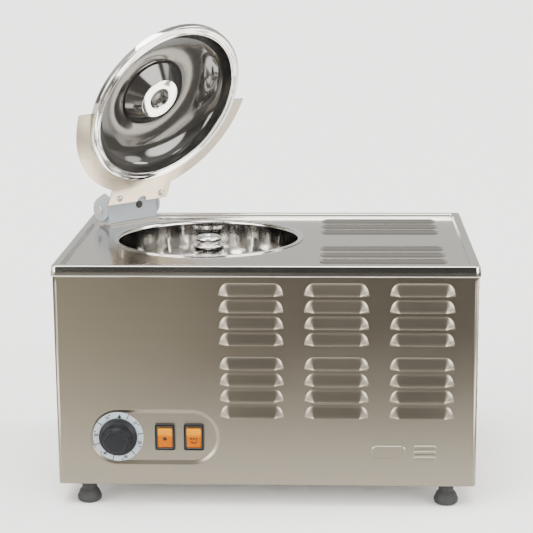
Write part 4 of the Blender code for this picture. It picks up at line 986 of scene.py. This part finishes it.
def collar_plate():
    """The sheet round the lid's back half, with a tab to the hinge that is cut out round the stop."""
    inner, half = LID_RADIUS + 0.0004, math.radians(88)
    start, end = 90 - math.degrees(half), 90 + math.degrees(half)
    right = math.degrees(math.acos(TAB_RIGHT / COLLAR_RADIUS))
    left = math.degrees(math.acos(TAB_LEFT / COLLAR_RADIUS))
    notch = 0.0072
    outline = arc((0, 0), COLLAR_RADIUS, start, right, 28) + [(TAB_RIGHT, TAB_END)]
    outline += [(STOP_X + notch, TAB_END)] + arc((STOP_X, TAB_END - 0.001), notch, 0, -180, 16)
    outline += [(STOP_X - notch, TAB_END), (TAB_LEFT, TAB_END)]
    outline += arc((0, 0), COLLAR_RADIUS, left, end, 28) + arc((0, 0), inner, end, start, 90)
    plate = prism(outline, COLLAR_LIFT, COLLAR_LIFT + COLLAR_SHEET)
    piece = add("lid_collar_plate", plate, "collar", "lid", LID, ["lid_collar"], sharp=30)
    bevel(piece, 0.0003, 2, 60)


def side_view(outline, left, right):
    """A solid of a constant section, drawn as seen from the side, between two x values."""
    mesh = prism(outline, left, right)
    mesh.transform(Matrix(((0, 0, 1, 0), (-1, 0, 0, 0), (0, 1, 0, 0), (0, 0, 0, 1))))
    return mesh


def hinge_castings():
    """The hinge's fixed block and moving leaf, as castings with rounded edges."""
    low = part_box("hinge_block")[0].z - HINGE.z
    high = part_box("hinge_block")[1].z - HINGE.z
    rim = RIM_TOP + GAP - HINGE.z
    chamfer, crown_radius, notch_front = 0.0015, 0.008, 0.0036
    crown = [(BLOCK_FRONT, high - chamfer), (BLOCK_FRONT - chamfer, high)]
    crown += arc((-BLOCK_BACK + crown_radius, high - crown_radius), crown_radius, 90, 180, 10)
    full = side_view([(-BLOCK_BACK, low), (BLOCK_FRONT, low)] + crown, BLOCK_LEFT, BLOCK_RIGHT - BLOCK_NOTCH)
    foot = [(-BLOCK_BACK, rim), (notch_front, rim), (notch_front, low), (BLOCK_FRONT, low)]
    notched = side_view(foot + crown, BLOCK_RIGHT - BLOCK_NOTCH, BLOCK_RIGHT)
    mesh = merged([full, notched], weld=True)
    block = add("hinge_block_cast", mesh, "cast", "machine", HINGE_LINE, ["hinge_block"])
    bevel(block, 0.0007, 3)
    web_low = LID_SEAT + COLLAR_LIFT + COLLAR_SHEET + GAP
    web_front, web_back, web_high = 0.0315, 0.0162, web_low + 0.0040
    web = side_view([(web_back, web_low), (web_front, web_low), (web_front, web_high), (web_back, web_high)],
                    BLOCK_LEFT - 0.0020, BLOCK_RIGHT + 0.0020)
    tab_gap = HINGE_REACH - TAB_END - GAP
    cheek = rounded_path([(tab_gap, web_low, 0.0010), (0.0245, web_low, 0.0030), (0.0245, 0.0030, 0.0020),
                          (0.0090, 0.0132, 0)], steps=5)
    cheek += arc((0, 0), CHEEK_RADIUS, 58, 318, 40)
    spans = ((BLOCK_LEFT - GAP - CHEEK_THICK, BLOCK_LEFT - GAP),
             (BLOCK_RIGHT + GAP, BLOCK_RIGHT + GAP + CHEEK_THICK))
    cheeks = [side_view(cheek, start, end) for start, end in spans]
    leaf = add("hinge_leaf_cast", merged([web] + cheeks), "cast", "lid", LEAF, ["hinge_leaf"])
    bevel(leaf, 0.0006, 3)


def screw_head(radius, height):
    """A domed head with a sunk hexagon, standing on z = 0."""
    bm = bmesh.new()
    turns = [math.tau * i / 48 for i in range(48)]
    rises = [math.radians(90) * k / 6 for k in range(6)]
    profile = [(radius, 0.0)] + [(radius * math.cos(a), height * math.sin(a)) for a in rises]
    rings = [[Vector((r * math.cos(a), r * math.sin(a), z)) for a in turns] for r, z in profile]
    hexagon = []
    across = radius * 0.42
    for a in turns:
        r = across / math.cos((a % math.radians(60)) - math.radians(30))
        hexagon.append((r * math.cos(a), r * math.sin(a)))
    rings += [[Vector((x, y, height * share)) for x, y in hexagon] for share in (0.93, 0.40)]
    rings_to_faces(bm, rings, True)
    for ring in (rings[-1], rings[0]):
        bm.faces.new([bm.verts.new(p) for p in ring])
    return finished_mesh(bm, "screw_head")


def screws():
    for number in (1, 2):
        node = f"tab_screw_{number}"
        low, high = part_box(node)
        centre = LEAF.inverted() @ ((low + high) / 2)
        top = LID_SEAT + COLLAR_LIFT - 0.0003
        at = LEAF @ Matrix.Translation((centre.x, centre.y, top)) @ Matrix.Rotation(math.pi, 4, "X")
        add(f"{node}_head", screw_head(0.0044, 0.0026), "screw", "lid", at, [node])
    for number in range(1, 5):
        node = f"rear_screw_{number}"
        at = on_front(node) @ FACING_BACK
        add(f"{node}_head", screw_head(0.0042, 0.0024), "screw", "machine", at, [node])


def stop_buffer():
    radius = 0.0052
    corners = [(0, 0, 0), (radius, 0, 0.0003), (radius, 0.0018, 0.0012), (0, 0.0028, 0)]
    profile = rounded_path(corners, steps=6)
    low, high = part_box("hinge_stop")
    centre = HINGE_LINE.inverted() @ ((low + high) / 2)
    at = HINGE_LINE @ Matrix.Translation((STOP_X, -0.0143, centre.z)) @ FACING_FRONT
    add("hinge_stop_rubber", lathe(profile, 48, closed=False), "rubber", "machine", at, ["hinge_stop"])


def pin():
    low = BLOCK_LEFT - CHEEK_THICK - 3 * GAP
    high = BLOCK_RIGHT + CHEEK_THICK + 3 * GAP
    head, core, head_height = 0.0055, 0.0035, 0.0015
    profile = rounded_path([
        (0, low - head_height, 0), (head, low - head_height, 0.0006), (head, low, 0.0003), (core, low, 0),
        (core, high, 0), (head, high, 0.0003), (head, high + head_height, 0.0006),
        (0, high + head_height, 0),
    ], steps=4)
    at = HINGE_LINE @ Matrix.Rotation(math.radians(90), 4, "Y")
    add("hinge_pin_turned", lathe(profile, 48, closed=False), "screw", "machine", at, ["hinge_pin"])


# ---- feet and back ----
def feet():
    for node in ("foot_front_left", "foot_front_right", "foot_back_left", "foot_back_right"):
        low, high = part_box(node)
        profile = rounded_path([
            (0, 0, 0), (0.0118, 0, 0.0012), (0.0146, 0.0024, 0.0020), (0.0150, 0.0070, 0.0012),
            (0.0120, 0.0140, 0.0030), (0.0093, 0.0172, 0.0016), (0.0090, high.z, 0), (0, high.z, 0),
        ], steps=5)
        at = Matrix.Translation(((low.x + high.x) / 2, (low.y + high.y) / 2, 0))
        add(f"{node}_moulded", lathe(profile, 64, closed=False), "rubber", "machine", at, [node])


def gland():
    low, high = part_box("cord_gland")
    length = high.y - low.y
    bore, shank, nut = 0.0042, 0.0078, 0.0110
    profile = rounded_path([
        (bore, 0, 0), (shank, 0, 0.0004), (shank, 0.0123, 0), (nut, 0.0123, 0.0006), (nut, 0.0170, 0.0010),
        (0.0085, 0.0185, 0.0010), (0.0068, length, 0.0008), (bore, length, 0.0005),
    ], steps=4)
    at = on_front("cord_gland") @ FACING_BACK
    add("cord_gland_moulded", lathe(profile, 64), "black", "machine", at, ["cord_gland"])


def dress_cad_nodes():
    """Materials for the CAD nodes that stay in view or sit behind the vents."""
    choices = {
        "sheet": ("base_pan", "rear_panel", "hinge_plate"),
        "zinc": ("motor_bracket", "compressor_plate"),
        "mirror": ("drive_shaft", "shaft_housing"),
        "screw": ("timer_shaft",),
        "cast": ("gearbox",),
        "black": ("cooling_switch", "paddle_switch", "timer_body", "terminal_box",
                  "compressor_terminal_cover"),
        "rubber": (*[f"grommet_{number}" for number in range(1, 5)], "shaft_seal"),
        "foam": ("bowl_insulation",),
        "copper": ("evaporator_coil", "condenser_coil", "suction_line", "discharge_line", "filter_drier"),
        "aluminium": ("drive_motor", "condenser_frame", "run_capacitor", "fan_blades"),
        "paint": ("compressor", "fan_shroud", "fan_motor"),
        "bronze": ("shaft_bearing_upper", "shaft_bearing_lower"),
    }
    for choice, nodes in choices.items():
        for node in nodes:
            mesh = frame["nodes"][node].data
            mesh.materials.clear()
            mesh.materials.append(MATERIALS[choice])


def build():
    make_camera()
    make_world()
    make_lights()
    make_floor()
    dress_cad_nodes()
    case_wrap()
    tray_sheet()
    bowl_shell()
    paddle_set()
    timer_knob()
    dial()
    switch_set()
    lid_dome()
    collar_plate()
    hinge_castings()
    screws()
    stop_buffer()
    pin()
    feet()
    gland()


build()
bpy.context.view_layer.update()
